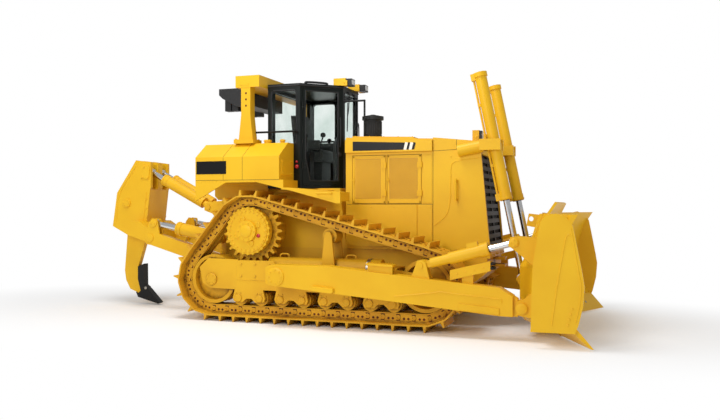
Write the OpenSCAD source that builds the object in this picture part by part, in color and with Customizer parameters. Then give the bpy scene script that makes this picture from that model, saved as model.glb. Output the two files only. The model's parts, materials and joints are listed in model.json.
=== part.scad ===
// Track-type bulldozer with a semi-U blade and a single-shank ripper.
// Origin: on the ground under the middle of the machine. +X forward, +Y left, +Z up.

/* [Track] */
// Distance between the track centres
track_gauge = 2083; // [1900:1:2300]
// Width of a track shoe
shoe_w = 560; // [480:1:620]
// Distance between the idlers
idler_span = 3207; // [3100:1:3350]
// X of the rear idler
rear_idler_x = -1470; // [-1550:1:-1400]
// Radius of the rail path around idlers and sprocket
idler_r = 372; // [350:1:390]
// Sprocket centre ahead of the rear idler
sprocket_fwd = 595; // [540:1:650]
// Sprocket centre above the rear idler
sprocket_rise = 710; // [660:1:760]
// Height of a track link
link_h = 130; // [115:1:140]
// Track pin below the rail face
pin_drop = 62; // [50:1:70]
// Thickness of a shoe plate
shoe_t = 20; // [15:1:25]
// Height of a grouser above its plate
grouser_h = 78; // [60:1:90]
// Shoes in one track
shoe_count = 44; // [42:1:46]
// Thickness of one row of links
link_w = 65; // [50:1:75]
// Space between the two rows of links
link_gap = 120; // [110:1:140]
// Running gap between rails and wheels
roll_gap = 0.5; // [0.3:0.1:2]
// Sprocket teeth
tooth_count = 25; // [23:1:27]
// Height of a sprocket tooth
tooth_h = 70; // [50:1:80]
// Thickness of the sprocket
sprocket_w = 90; // [70:1:100]
// Radius of a track roller
roller_r = 112; // [100:1:118]
// Rise of the track rollers' middle flange
roller_lip = 8; // [4:1:10]
// Room between the tracks and what stands beside them
track_gap = 16; // [10:1:25]
// Rollers under one track frame
roller_count = 8; // [6:2:8]
// First roller ahead of the rear idler
roller_inset = 440; // [400:1:420]
// Radius of the carrier roller
carrier_r = 105; // [90:1:115]
// Carrier roller ahead of the rear idler
carrier_fwd = 1762; // [1650:1:1850]
// Radius of the final drive cover
drive_r = 335; // [300:1:345]

/* [Track frame] */
// Width of the frame beam
beam_w = 380; // [360:1:400]
// Height of the beam's underside over the rail
beam_lift = 236; // [230:1:250]
// Depth of the frame beam
beam_h = 240; // [200:1:260]
// Thickness of the idler yoke plates
yoke_t = 40; // [30:1:50]
// Radius of the recoil tube
recoil_r = 130; // [110:1:135]
// Radius of the push arm trunnion
trunnion_r = 70; // [60:1:80]
// X of the push arm trunnion
trunnion_x = -270; // [-330:1:-200]
// Height of the push arm trunnion
trunnion_z = 700; // [670:1:730]

/* [Hull] */
// Width of the main frame
hull_w = 1200; // [1150:1:1240]
// Width of the main frame behind the steering case
tail_w = 800; // [760:1:810]
// Ground clearance
belly_z = 556; // [520:1:600]
// X of the hull's rear face
hull_rear_x = -1780; // [-1800:1:-1760]
// X of the hull's front face
hull_front_x = 2460; // [2400:1:2480]
// Height of the engine rails
rail_z = 1050; // [1000:1:1100]
// Height of the case under the fuel tank
case_z = 1760; // [1720:1:1800]
// Height of the operator's floor
floor_z = 1930; // [1900:1:1960]
// Radius of the front pull hook's pin hole
hook_r = 32; // [25:1:40]

/* [Hood] */
// X of the hood's rear wall
hood_rear_x = 400; // [380:1:430]
// X of the joint between hood and radiator guard
guard_x = 1700; // [1660:1:1740]
// Width of the hood
hood_w = 1240; // [1200:1:1260]
// Height of the hood at its rear
hood_z = 2665; // [2600:1:2700]
// Drop of the hood from rear to front
hood_drop = 50; // [40:1:60]
// Radius of the air pre-cleaner's can
precleaner_r = 132; // [120:1:140]
// Thickness of the hood's sheet
sheet_t = 30; // [20:1:40]
// Lower edge of the engine doors
door_low_z = 1700; // [1660:1:1740]
// Height of an engine door
door_h = 700; // [640:1:720]
// Width of an engine door
door_w = 514; // [480:1:530]
// Gap around a door
door_gap = 6; // [5:1:10]
// Side band above the engine doors
band_t = 40; // [30:1:50]
// X of the radiator guard's front at its foot
guard_front_x = 2500; // [2470:1:2520]
// Rake of the guard's front from foot to top
guard_rake = 140; // [100:1:160]

/* [Deck] */
// Outer half width of the fenders
fender_y = 1300; // [1280:1:1320]
// Height of the fender deck
deck_z = 2040; // [2000:1:2060]
// Thickness of the fender plates
fender_t = 30; // [20:1:40]
// X of the rear of fenders and side tanks
deck_rear_x = -1700; // [-1740:1:-1660]
// X of the front of the fenders
deck_front_x = 570; // [540:1:600]
// Inner side of the fenders' front part, from the middle
fender_in_y = 930; // [920:1:950]
// Low edge of the fenders at their rear end
fender_rear_z = 1741; // [1720:1:1760]
// Low edge of the fenders at their front end
fender_front_z = 1705; // [1690:1:1720]
// X of the front of the side tanks
tank_front_x = -350; // [-370:1:-340]
// Height of the side tanks
tank_h = 545; // [500:1:560]
// Height of the side tanks' upright face
tank_side_h = 335; // [320:1:350]
// Width of the side tanks' flat top
tank_top_w = 195; // [170:1:230]

/* [Cab] */
// Half width of the cab
cab_y = 800; // [780:1:820]
// X of the cab's rear wall
cab_rear_x = -770; // [-785:1:-750]
// X of the corner where the door begins
cab_corner_x = -250; // [-270:1:-230]
// X of the cab's front
cab_front_x = 250; // [230:1:270]
// Half width of the cab's front
cab_nose_y = 330; // [310:1:350]
// Height of the cab's roof
cab_z = 3470; // [3450:1:3490]
// Thickness of the cab's walls
cab_t = 55; // [45:1:65]
// Thickness of the glass
glass_t = 8; // [6:1:10]
// Sill height of the windows above the floor
sill_h = 650; // [630:1:700]
// Height of the doors' sill above the floor
door_sill = 48; // [46:1:80]
// Frame width round a window
frame_w = 45; // [40:1:60]
// Radius of the side windows' corners
window_r = 60; // [40:1:80]

/* [Roll frame] */
// Half distance between the posts
post_y = 975; // [960:1:985]
// Width of a post
post_w = 140; // [120:1:150]
// X of the posts' rear face
post_x = -1085; // [-1095:1:-1075]
// Depth of a post
post_d = 150; // [140:1:160]
// Height of the handrails beside the cab
rail_top = 2753; // [2700:1:2800]
// Radius of the handrails
grip_r = 15; // [12:1:18]
// Lower foot of the grab handles on the radiator guard
guard_grip_z = 1760; // [1740:1:1780]
// Height of the cross beam's underside
beam_z = 3410; // [3410:1:3430]
// Depth of the cross beam
top_h = 170; // [150:1:190]
// Length of the cross beam along the machine
top_l = 387; // [370:1:390]

/* [Blade] */
// Width of the blade
blade_w = 3940; // [3800:1:4000]
// Width of the blade's straight middle
blade_mid_w = 2300; // [2200:1:2400]
// Angle of the blade's wings
wing_angle = 25; // [22:1:27]
// Radius of the moldboard's curve
mold_r = 1250; // [1200:1:1350]
// X of the back of the blade
blade_back_x = 2990; // [2980:1:3010]
// Lower edge of the moldboard
mold_low_z = 270; // [260:1:300]
// Upper edge of the moldboard
mold_top_z = 1570; // [1540:1:1600]
// Height of the spill guard
spill_h = 170; // [140:1:190]
// Forward lean of the spill guard, in degrees
spill_lean = 30; // [20:1:35]
// Width of the spill guard at its foot
spill_w = 1920; // [1800:1:1950]
// Thickness of an end plate
end_t = 45; // [35:1:50]
// Inner face of the push arms
arm_y = 1385; // [1375:1:1395]
// Width of a push arm
arm_w = 200; // [180:1:210]
// X of the push arms' front pin
arm_pin_x = 3058; // [3040:1:3070]
// Height of the push arms' front pin
arm_pin_z = 415; // [400:1:430]
// Radius of the push arms' front pin
arm_pin_r = 60; // [50:1:65]
// Radius of the push arms' front eye
arm_eye_r = 105; // [95:1:110]
// Width of the push arms' front eye
arm_eye_w = 110; // [90:1:115]
// Rear end of the hose guards on the push arms
hose_x = 2148; // [2130:1:2160]
// Length of the hose guards
hose_l = 512; // [480:1:530]
// Height of the hoses at the guards' front end
hose_z = 938; // [930:1:945]
// Radius of the hoses
hose_r = 19; // [14:1:22]

/* [Cylinders] */
// Running clearance of pins and rods
run = 0.3; // [0.1:0.1:0.5]
// Side gap of a rod's eye
eye_gap = 12; // [8:1:14]
// Y of the blade lift cylinders
lift_y = 610; // [600:1:625]
// X of the lift cylinders' trunnions
lift_x = 2564; // [2550:1:2580]
// Height of the lift cylinders' trunnions
lift_z = 2502; // [2480:1:2520]
// X of the lift rods' eyes
lift_eye_x = 2940; // [2925:1:2950]
// Height of the lift rods' eyes
lift_eye_z = 690; // [670:1:710]
// Radius of a lift barrel
lift_r = 80; // [74:1:84]
// Radius of a lift rod
lift_rod_r = 44; // [38:1:48]
// Radius of the oil line on the lift cylinders
lift_line_r = 15; // [12:1:18]
// Barrel above its trunnion
lift_up = 1015; // [980:1:1050]
// Barrel below its trunnion
lift_down = 765; // [740:1:775]
// Y of the tilt cylinders
tilt_y = 1470; // [1460:1:1480]
// X of the tilt cylinders' rear pins
tilt_x = 1763; // [1740:1:1780]
// Height of the tilt cylinders' rear pins
tilt_z = 900; // [880:1:910]
// X of the tilt rods' eyes
tilt_eye_x = 2957; // [2945:1:2970]
// Height of the tilt rods' eyes
tilt_eye_z = 1217; // [1200:1:1230]
// Radius of a tilt barrel
tilt_r = 78; // [70:1:82]
// Radius of a tilt rod
tilt_rod_r = 42; // [36:1:46]
// Length of a tilt barrel from its pin
tilt_len = 900; // [860:1:930]

/* [Ripper] */
// X of the ripper arms' machine pins
arm0_x = -1720; // [-1740:1:-1710]
// Height of the ripper arms' machine pins
arm0_z = 800; // [780:1:820]
// X of the ripper arms' carriage pins
arm1_x = -2974; // [-2990:1:-2960]
// Height of the ripper arms' carriage pins
arm1_z = 1158; // [1140:1:1170]
// Inner face of the ripper arms
rarm_y = 470; // [460:1:480]
// Width of a ripper arm
rarm_w = 140; // [130:1:150]
// Half height of a ripper arm
rarm_h = 105; // [95:1:110]
// Radius of the ripper arms' pins
rpin_r = 50; // [44:1:54]
// X of the ripper lift cylinders' machine pins
rlift0_x = -1720; // [-1730:1:-1710]
// Height of the ripper lift cylinders' machine pins
rlift0_z = 1170; // [1150:1:1190]
// X of the ripper lift rods' eyes
rlift1_x = -2904; // [-2915:1:-2890]
// Height of the ripper lift rods' eyes
rlift1_z = 1390; // [1380:1:1400]
// Radius of a ripper lift barrel
rlift_r = 105; // [95:1:110]
// Radius of a ripper lift rod
rlift_rod_r = 50; // [44:1:54]
// Length of a ripper lift barrel from its pin
rlift_len = 780; // [740:1:800]
// Y of the ripper tilt cylinders
rtilt_y = 140; // [136:1:144]
// X of the ripper tilt cylinders' machine pins
rtilt0_x = -2117; // [-2130:1:-2105]
// Height of the ripper tilt cylinders' machine pins
rtilt0_z = 1648; // [1630:1:1665]
// X of the ripper tilt rods' eyes
rtilt1_x = -3280; // [-3290:1:-3270]
// Height of the ripper tilt rods' eyes
rtilt1_z = 2250; // [2235:1:2265]
// Radius of a ripper tilt barrel
rtilt_r = 95; // [85:1:99]
// Radius of a ripper tilt rod
rtilt_rod_r = 45; // [40:1:50]
// Length of a ripper tilt barrel from its pin
rtilt_len = 1000; // [960:1:1020]
// Half width of the carriage box
carriage_y = 270; // [262:1:280]
// Thickness of the carriage's ear plates
ear_t = 50; // [40:1:52]
// Thickness of the shank
shank_t = 90; // [80:1:100]

/* [Seat and console] */
// Rear of the seat's cushion
seat_x = -600; // [-620:1:-580]
// Length of the seat's cushion
seat_l = 480; // [460:1:500]
// Half width of the seat's cushion
seat_y = 260; // [250:1:270]
// Height of the seat's base above the mat
seat_base_h = 380; // [360:1:400]
// Height of the cushion's top above the mat
seat_h = 520; // [500:1:540]
// Height of the back's top above the mat
seat_back_h = 1100; // [1050:1:1120]
// Rear face of the console
console_x = 40; // [30:1:50]
// Half width of the console
console_y = 250; // [240:1:260]
// Height of the console's top above the mat
console_h = 720; // [700:1:740]
// Middle of the lever boxes, from the centre
lever_y = 480; // [470:1:490]
// Height of the lever boxes above the mat
lever_box_h = 520; // [500:1:540]

/* [Hidden] */
$fn = 48;

yellow = "goldenrod";
black = "dimgray";
steel = "silver";

// Track path
track_y = track_gauge / 2;
pin_r = idler_r + pin_drop;
plate_in = link_h - pin_drop;
plate_out = plate_in + shoe_t;
tip_out = plate_out + grouser_h;
idler_z = pin_r + tip_out;
rear_c = [rear_idler_x, idler_z];
front_c = [rear_idler_x + idler_span, idler_z];
drive_c = [rear_idler_x + sprocket_fwd, idler_z + sprocket_rise];
ground_rail_z = idler_z - idler_r;
turn = 180 / PI;
top_run = drive_c - front_c;
rear_run = rear_c - drive_c;
top_angle = atan2(top_run.y, top_run.x);
rear_angle = atan2(rear_run.y, rear_run.x) + 360;
end_1 = idler_span;
end_2 = end_1 + pin_r * top_angle / turn;
end_3 = end_2 + norm(top_run);
end_4 = end_3 + pin_r * (rear_angle - top_angle) / turn;
end_5 = end_4 + norm(rear_run);
loop_len = end_5 + pin_r * (360 - rear_angle) / turn;
pitch = loop_len / shoe_count;
tread_r = pin_r * cos(pitch / pin_r * turn / 2) - pin_drop - roll_gap;

function heading(a) = [cos(a), sin(a)];
function right_of(u) = [u.y, -u.x];
function arc_at(c, a) = c + pin_r * right_of(heading(a));
function run_at(c, a, s) = arc_at(c, a) + s * heading(a);
function path(s) =
  s < end_1 ? run_at(rear_c, 0, s) :
  s < end_2 ? arc_at(front_c, (s - end_1) / pin_r * turn) :
  s < end_3 ? run_at(front_c, top_angle, s - end_2) :
  s < end_4 ? arc_at(drive_c, top_angle + (s - end_3) / pin_r * turn) :
  s < end_5 ? run_at(drive_c, rear_angle, s - end_4) :
  arc_at(rear_c, rear_angle + (s - end_5) / pin_r * turn);
function track_pin(i) = path((i + shoe_count) % shoe_count * pitch);
function chord(i) = track_pin(i + 1) - track_pin(i);
function side(i) = right_of(chord(i) / norm(chord(i)));
function on_shoe(i, f, o) = track_pin(i) + f * chord(i) + o * side(i);
function at_pin(i, o) = track_pin(i) + o * (side(i) + side(i - 1)) / norm(side(i) + side(i - 1));
shoe_profile = [[0.03, plate_out], [0.74, plate_out], [0.80, tip_out], [0.88, tip_out],
  [0.95, plate_out]];

// Shared heights and places
hood_front_z = hood_z - hood_drop;
guard_top_x = guard_front_x - guard_rake;
hood_y = hood_w / 2;
hull_y = hull_w / 2;
tail_y = tail_w / 2;
door_1_x = hood_rear_x + 100;
door_2_x = door_1_x + door_w + 2 * door_gap;
hinge_r = 12;
door_t = 20;
hinge_in = 2;
tank_y = cab_y + 5;
tank_z = deck_z + tank_h;
sill_z = floor_z + sill_h;
door_z = floor_z + door_sill;
door_len = norm([cab_front_x - cab_corner_x, cab_y - cab_nose_y]);
beam_x = post_x - 90;
door_turn = atan2(cab_nose_y - cab_y, cab_front_x - cab_corner_x);
window_top = cab_z - cab_t - frame_w;
lift_dir = [lift_eye_x - lift_x, lift_eye_z - lift_z];
lift_len = norm(lift_dir);
lift_turn = atan2(lift_dir.x, lift_dir.y);
tilt_dir = [tilt_eye_x - tilt_x, tilt_eye_z - tilt_z];
tilt_turn = atan2(tilt_dir.x, tilt_dir.y);
rlift_dir = [rlift1_x - rlift0_x, rlift1_z - rlift0_z];
rlift_turn = atan2(rlift_dir.x, rlift_dir.y);
rtilt_dir = [rtilt1_x - rtilt0_x, rtilt1_z - rtilt0_z];
rtilt_turn = atan2(rtilt_dir.x, rtilt_dir.y);
rarm_dir = [arm1_x - arm0_x, arm1_z - arm0_z];
rarm_mid = rarm_y + rarm_w / 2;
fork_w = rarm_w - 2 * 28;
arm_mid = arm_y + arm_w / 2;
tilt_eye_w = 92 - eye_gap;

// Pairs, plates and turned shapes
module both() {
  children();
  mirror([0, 1, 0]) children();
}

module plate(points, y0, y1) {
  translate([0, y1, 0]) rotate([90, 0, 0]) linear_extrude(y1 - y0) polygon(points);
}

module pin_y(x, z, y0, y1, r) {
  translate([x, y0, z]) rotate([-90, 0, 0]) cylinder(h = y1 - y0, r = r);
}

module box(x0, x1, y0, y1, z0, z1) {
  translate([x0, y0, z0]) cube([x1 - x0, y1 - y0, z1 - z0]);
}

module aim(x, y, z, turn_y) {
  translate([x, y, z]) rotate([0, turn_y, 0]) children();
}

module tube(r, bore, z0, z1) {
  difference() {
    translate([0, 0, z0]) cylinder(h = z1 - z0, r = r);
    translate([0, 0, z0 - 1]) cylinder(h = z1 - z0 + 2, r = bore);
  }
}

module eye(r, bore, w) {
  rotate([90, 0, 0]) difference() {
    cylinder(h = w, r = r, center = true);
    cylinder(h = w + 2, r = bore, center = true);
  }
}

// Tracks
module track_loop() {
  ring = [for (i = [0:shoe_count - 1]) for (p = shoe_profile) on_shoe(i, p[0], p[1])];
  inner = [for (i = [0:shoe_count - 1]) at_pin(i, plate_in)];
  link_out = [for (i = [0:shoe_count - 1]) at_pin(i, plate_in + shoe_t / 2)];
  link_in = [for (i = [0:shoe_count - 1]) for (f = [0.12, 0.88]) on_shoe(i, f, -pin_drop)];
  band(ring, inner, -shoe_w / 2, shoe_w / 2);
  for (s = [-1, 1])
    band(link_out, link_in, s * (link_gap + link_w) / 2 - link_w / 2,
      s * (link_gap + link_w) / 2 + link_w / 2);
}

module band(outer, inner, y0, y1) {
  n = len(outer);
  paths = [[for (i = [0:n - 1]) i], [for (i = [0:len(inner) - 1]) n + i]];
  translate([0, y1, 0]) rotate([90, 0, 0]) linear_extrude(y1 - y0)
    polygon(concat(outer, inner), paths);
}

module track_right() {
  color(yellow) translate([0, -track_y, 0]) track_loop();
}

module track_left() {
  color(yellow) translate([0, track_y, 0]) track_loop();
}

// Wheels inside the tracks
module idlers() {
  hub_y = beam_w / 2 - yoke_t - run;
  color(yellow) both() for (c = [rear_c, front_c])
    translate([c.x, track_y, c.y]) rotate([90, 0, 0]) rotate_extrude()
      polygon([[0, -hub_y], [70, -hub_y], [90, -90], [120, -60], [tread_r - 60, -40],
        [tread_r - 50, -130], [tread_r, -130], [tread_r, 130], [tread_r - 50, 130],
        [tread_r - 60, 40], [120, 60], [90, 90], [70, hub_y], [0, hub_y]]);
}

module sprockets() {
  root_r = pin_r + 34 - tooth_h;
  step = 360 / tooth_count;
  rim = [for (i = [0:tooth_count - 1])
    for (p = [[-0.3, root_r], [-0.12, pin_r + 34], [0.12, pin_r + 34], [0.3, root_r]])
      p[1] * heading((i + p[0]) * step)];
  color(yellow) both() translate([drive_c.x, track_y, drive_c.y]) rotate([90, 0, 0])
    difference() {
      translate([0, 0, -sprocket_w / 2]) linear_extrude(sprocket_w) polygon(rim);
      translate([0, 0, -sprocket_w]) cylinder(h = 2 * sprocket_w, r = drive_r - 30 + run);
    }
}

module final_drives() {
  color(yellow) both() translate([drive_c.x, 0, drive_c.y]) rotate([-90, 0, 0]) {
    translate([0, 0, hull_y]) cylinder(h = track_y + 150 - hull_y, r = drive_r - 30);
    translate([0, 0, track_y + sprocket_w / 2 + 40]) cylinder(h = 110, r = drive_r);
    translate([0, 0, track_y + 150]) cylinder(h = 60, r = drive_r - 25);
    translate([0, 0, track_y + 209]) cylinder(h = 45, r = 150);
  }
}

module track_rollers() {
  step = (idler_span - 2 * roller_inset) / (roller_count - 1);
  z = ground_rail_z + roll_gap + roller_r;
  top = ground_rail_z + beam_lift;
  color(yellow) both() translate([rear_idler_x + roller_inset, track_y, 0])
    for (i = [0:2:roller_count - 2]) translate([i * step, 0, 0]) {
      for (x = [0, step]) {
        pin_y(x, z, -link_gap / 2 - link_w, link_gap / 2 + link_w, roller_r);
        pin_y(x, z, -link_gap / 2 + 8, link_gap / 2 - 8, roller_r + roller_lip);
        pin_y(x, z, -beam_w / 2, beam_w / 2, 45);
      }
      for (y = [-beam_w / 2, beam_w / 2 - 45])
        plate([[-roller_r + 40, z - 50], [-roller_r + 20, z], [-60, top], [step + 60, top],
          [step + roller_r - 20, z], [step + roller_r - 40, z - 50], [step - 60, z - 60],
          [step / 2 + 40, z - 5], [step / 2 - 40, z - 5], [60, z - 60]], y, y + 45);
    }
}

module carrier_rollers() {
  u = heading(top_angle);
  at = front_c + u * ((rear_idler_x + carrier_fwd - front_c.x) / u.x)
    + right_of(u) * (idler_r - carrier_r - roll_gap);
  base = ground_rail_z + beam_lift + beam_h;
  color(yellow) both() translate([0, track_y, 0]) {
    pin_y(at.x, at.y, -link_gap / 2 - link_w, link_gap / 2 + link_w, carrier_r);
    pin_y(at.x, at.y, -beam_w / 2 + 20, beam_w / 2 - 20, 50);
    for (y = [-beam_w / 2, beam_w / 2 - 35])
      plate([[at.x - 110, base], [at.x - 55, at.y], [at.x - 30, at.y + 60], [at.x + 30, at.y + 60],
        [at.x + 55, at.y], [at.x + 110, base]], y, y + 35);
  }
}

module track_frames() {
  z0 = ground_rail_z + beam_lift;
  z1 = z0 + beam_h;
  x0 = rear_c.x + tread_r + 20;
  x1 = front_c.x - tread_r - 20;
  y = beam_w / 2;
  tube_z = z1 + recoil_r - 30;
  color(yellow) both() translate([0, track_y, 0]) {
    difference() {
      union() {
        box(x0, x1, -y, y, z0, z1);
        for (s = [-y, y - yoke_t]) {
          plate([[x0 + 60, z0], [x0 + 60, z1 + 190], [rear_c.x - 60, z1 + 200],
            [rear_c.x - 200, idler_z + 170], [rear_c.x - 150, idler_z - 60],
            [rear_c.x - 30, idler_z - 130]], s, s + yoke_t);
          plate([[x1 - 60, z0], [x1 - 60, z1 + 110], [front_c.x + 60, idler_z + 150],
            [front_c.x + 130, idler_z + 40], [front_c.x + 110, idler_z - 100],
            [front_c.x, idler_z - 130]], s, s + yoke_t);
        }
        translate([drive_c.x + 280, 0, tube_z]) rotate([0, 90, 0])
          cylinder(h = x1 - 260 - drive_c.x - 280, r = recoil_r);
        box(x1 - 261, x1, -y, y, z1 - 1, z1 + 130);
      }
      for (s = [-1, 1]) {
        carrier_x = rear_idler_x + carrier_fwd;
        box(carrier_x - 115, carrier_x + 115, s * (y - 17.5) - 18, s * (y - 17.5) + 18,
          z1, z1 + 300);
      }
    }
    pin_y(trunnion_x, trunnion_z, y - 1, arm_y + arm_w - track_y - 30, trunnion_r);
    pin_y(trunnion_x, trunnion_z, y - 1, arm_y - track_y - 8, trunnion_r + 45);
  }
}

module axles() {
  y1 = track_y - beam_w / 2;
  z = ground_rail_z + beam_lift + beam_h / 2;
  color(yellow) both() {
    pin_y(trunnion_x + 40, z + 20, hull_y, y1, 100);
    box(front_c.x - 600, front_c.x - 440, hull_y, y1, z - 60, z + 100);
  }
}

// Hull
module main_frame() {
  color(yellow) {
    plate([[hull_rear_x + 191, belly_z + 60], [hull_rear_x + 320, belly_z],
      [hull_front_x - 250, belly_z], [hull_front_x, belly_z + 200], [hull_front_x, rail_z],
      [hull_rear_x + 191, rail_z]], -hull_y, hull_y);
    for (z = [rail_z - 250, rail_z - 150]) difference() {
      box(hull_front_x - 1, hull_front_x + 165, -90, 90, z, z + 40);
      translate([hull_front_x + 100, 0, z - 1]) cylinder(h = 42, r = hook_r);
    }
  }
}

module steering_case() {
  color(yellow) {
    plate([[hull_rear_x + 190, rail_z + run], [hood_rear_x, rail_z + run], [hood_rear_x - 100, floor_z],
      [cab_rear_x - 20, floor_z], [cab_rear_x - 20, case_z], [hull_rear_x + 190, case_z]], -hull_y, hull_y);
    plate([[hull_rear_x, belly_z + 120], [hull_rear_x + 191 - run, belly_z + 60],
      [hull_rear_x + 191 - run, case_z], [hull_rear_x, case_z]], -tail_y, tail_y);
  }
}

module engine_block() {
  color(black) box(hood_rear_x + 120, guard_x - 120, -350, 350, rail_z, hood_front_z - 180);
}

module hood_profile(inset) {
  points = [[hood_rear_x + inset, rail_z - 2 * inset], [guard_x + 2 * inset, rail_z - 2 * inset],
    [guard_x + 2 * inset, hood_front_z - inset], [hood_rear_x + inset, hood_z - inset]];
  polygon(points);
}

module raised_plate(grow) {
  x1 = guard_x - 330;
  plate([[hood_rear_x + 30, hood_z - 40], [x1, hood_front_z - 40], [x1, hood_front_z + 50 + grow],
    [hood_rear_x + 30, hood_z + 35 + grow]], -430, 430);
}

module hood() {
  band_z = door_low_z + door_h + 40;
  color(yellow) difference() {
    union() {
      translate([0, hood_y, 0]) rotate([90, 0, 0]) linear_extrude(hood_w) hood_profile(0);
      plate([[hood_rear_x, band_z], [guard_x - 5, band_z], [guard_x - 5, hood_front_z - 25],
        [hood_rear_x, hood_z - 35]], -hood_y - band_t, hood_y + band_t);
      raised_plate(0);
    }
    translate([0, hood_y - sheet_t, 0]) rotate([90, 0, 0])
      linear_extrude(hood_w - 2 * sheet_t) hood_profile(sheet_t);
    for (x = [door_1_x, door_2_x])
      box(x, x + door_w, -hood_w, hood_w, door_low_z, door_low_z + door_h);
  }
}

module engine_door(x) {
  y0 = hood_y - door_t;
  box(x + door_gap, x + door_w - door_gap, y0, hood_y, door_low_z + door_gap,
    door_low_z + door_h - door_gap);
  for (z = [door_low_z + 110, door_low_z + door_h - 190]) {
    translate([x + door_w - hinge_in, hood_y + hinge_r + run, z]) cylinder(h = 80, r = hinge_r);
    box(x + door_w - door_gap - 60, x + door_w - door_gap, hood_y - 1, hood_y + hinge_r, z, z + 80);
  }
}

module engine_doors_left() {
  color(yellow) engine_door(door_2_x);
}

module engine_doors_right() {
  color(yellow) mirror([0, 1, 0]) engine_door(door_2_x);
}

module rear_doors_left() {
  color(yellow) engine_door(door_1_x);
}

module rear_doors_right() {
  color(yellow) mirror([0, 1, 0]) engine_door(door_1_x);
}

function guard_outline(grow) = [[guard_front_x + grow, rail_z + 20],
  [guard_top_x + 12 + grow, hood_front_z - 190], [guard_top_x - 50 + grow, hood_front_z - 50 + grow],
  [guard_x, hood_front_z + 15 + grow]];

module radiator_guard() {
  foot = rail_z - 100;
  color(yellow) difference() {
    plate(concat([[guard_x, rail_z], [hull_front_x, rail_z], [hull_front_x, foot],
      [guard_front_x, foot]], guard_outline(0)), -hood_y, hood_y);
    plate([[guard_front_x - 60, rail_z + 60], [guard_front_x + 100, rail_z + 60],
      [guard_front_x + 100, hood_front_z - 230], [guard_top_x - 50, hood_front_z - 230]],
      -hood_y + 45, hood_y - 45);
  }
}

module radiator_grille() {
  slats = 12;
  z0 = rail_z + 60;
  z1 = hood_front_z - 230;
  step = (z1 - z0) / slats;
  color(black) intersection() {
    plate([[guard_front_x - 60, z0], [guard_front_x - 20, z0], [guard_top_x - 10, z1],
      [guard_top_x - 50, z1]], -hood_y + 45, hood_y - 45);
    union() {
      for (i = [0:slats - 1])
        box(guard_top_x - 200, guard_front_x, -hood_y, hood_y, z0 + i * step,
          z0 + i * step + step * 0.55);
      for (y = [-hood_y + 45, -30, hood_y - 105])
        box(guard_top_x - 200, guard_front_x, y, y + 60, z0, z1);
    }
  }
}

module fuel_tank() {
  z1 = tank_z - 30;
  x1 = cab_rear_x - 22;
  color(yellow) {
    plate([[deck_rear_x, case_z + 60], [deck_rear_x + 60, case_z], [x1, case_z], [x1, deck_z - 60],
      [deck_rear_x, deck_z - 60]], -track_y + shoe_w / 2 + track_gap, track_y - shoe_w / 2 - track_gap);
    plate([[deck_rear_x, deck_z - 61], [x1, deck_z - 61], [x1, z1], [deck_rear_x + 120, z1],
      [deck_rear_x, z1 - 160]], -tank_y + run, tank_y - run);
  }
}

module side_tanks() {
  color(yellow) both() translate([deck_rear_x, 0, 0]) rotate([90, 0, 90])
    linear_extrude(tank_front_x - deck_rear_x)
      polygon([[tank_y, deck_z], [fender_y, deck_z], [fender_y, deck_z + tank_side_h],
        [tank_y + tank_top_w, tank_z], [tank_y, tank_z]]);
}

module fenders() {
  step_x = tank_front_x + 64;
  low_z = floor_z - 70;
  color(yellow) both() {
    box(deck_rear_x, step_x, tank_y, fender_y, deck_z - fender_t, deck_z);
    plate([[step_x - 1, floor_z - fender_t], [deck_front_x, low_z - fender_t], [deck_front_x, low_z],
      [step_x - 1, floor_z]], fender_in_y, fender_y);
    plate([[deck_rear_x, deck_z], [deck_rear_x, fender_rear_z], [deck_rear_x + 500, deck_z - 32],
      [deck_rear_x + 990, deck_z - 31], [step_x + 106, floor_z - 44], [deck_front_x - 60, fender_front_z],
      [deck_front_x, fender_front_z], [deck_front_x, low_z], [step_x, floor_z], [step_x, deck_z]],
      fender_y - fender_t, fender_y);
    box(deck_front_x - fender_t, deck_front_x, fender_in_y, fender_y, fender_front_z + 30, low_z);
    box(step_x - fender_t, step_x, tank_y, fender_y, floor_z - fender_t, deck_z);
    box(cab_rear_x + 170, 200, hull_y, tank_y + 20, floor_z - 2 * fender_t, floor_z - fender_t);
  }
}

module roll_post(grow) {
  x1 = post_x + post_d + grow;
  plate([[post_x - 40, tank_z + 59], [x1 + 40, tank_z + 59], [x1, tank_z + 420], [x1, beam_z + 1],
    [post_x, beam_z + 1], [post_x, tank_z + 420]], post_y - post_w / 2, post_y + post_w / 2);
}

module roll_frame() {
  color(yellow) {
    both() {
      box(post_x - 105, post_x + post_d + 65, tank_y + 5, tank_y + tank_top_w + 80, tank_z, tank_z + 60);
      roll_post(0);
    }
    box(beam_x, beam_x + top_l, -post_y - 75, post_y + 75, beam_z, beam_z + top_h);
  }
}

module cooler_shape(grow, y) {
  x0 = deck_rear_x - 40;
  plate([[x0 - grow, beam_z - 15], [x0 - grow, beam_z + 80], [beam_x, beam_z + 80],
    [beam_x, beam_z - 200 - grow], [x0 + 300, beam_z - 200 - grow],
    [x0 + 60, beam_z - 70 - grow]], -y, y);
}

module air_conditioner() {
  color(black) {
    cooler_shape(0, 550);
    translate([beam_x - 80, -300, beam_z + 79]) rotate([90, 0, 0]) rotate_extrude(angle = 180)
      translate([60, 0]) circle(r = grip_r - 2);
  }
}

// Cab
module cab_plan(inset) {
  nose = inset * tan((90 + door_turn) / 2);
  corner = inset * tan(-door_turn / 2);
  x1 = cab_front_x - inset;
  y1 = cab_nose_y - nose;
  xc = cab_corner_x - corner;
  polygon([[cab_rear_x + inset, -cab_y + inset], [xc, -cab_y + inset], [x1, -y1], [x1, y1],
    [xc, cab_y - inset], [cab_rear_x + inset, cab_y - inset]]);
}

module shell(inset, t, z0, z1) {
  translate([0, 0, z0]) linear_extrude(z1 - z0) difference() {
    cab_plan(inset);
    cab_plan(inset + t);
  }
}

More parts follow.
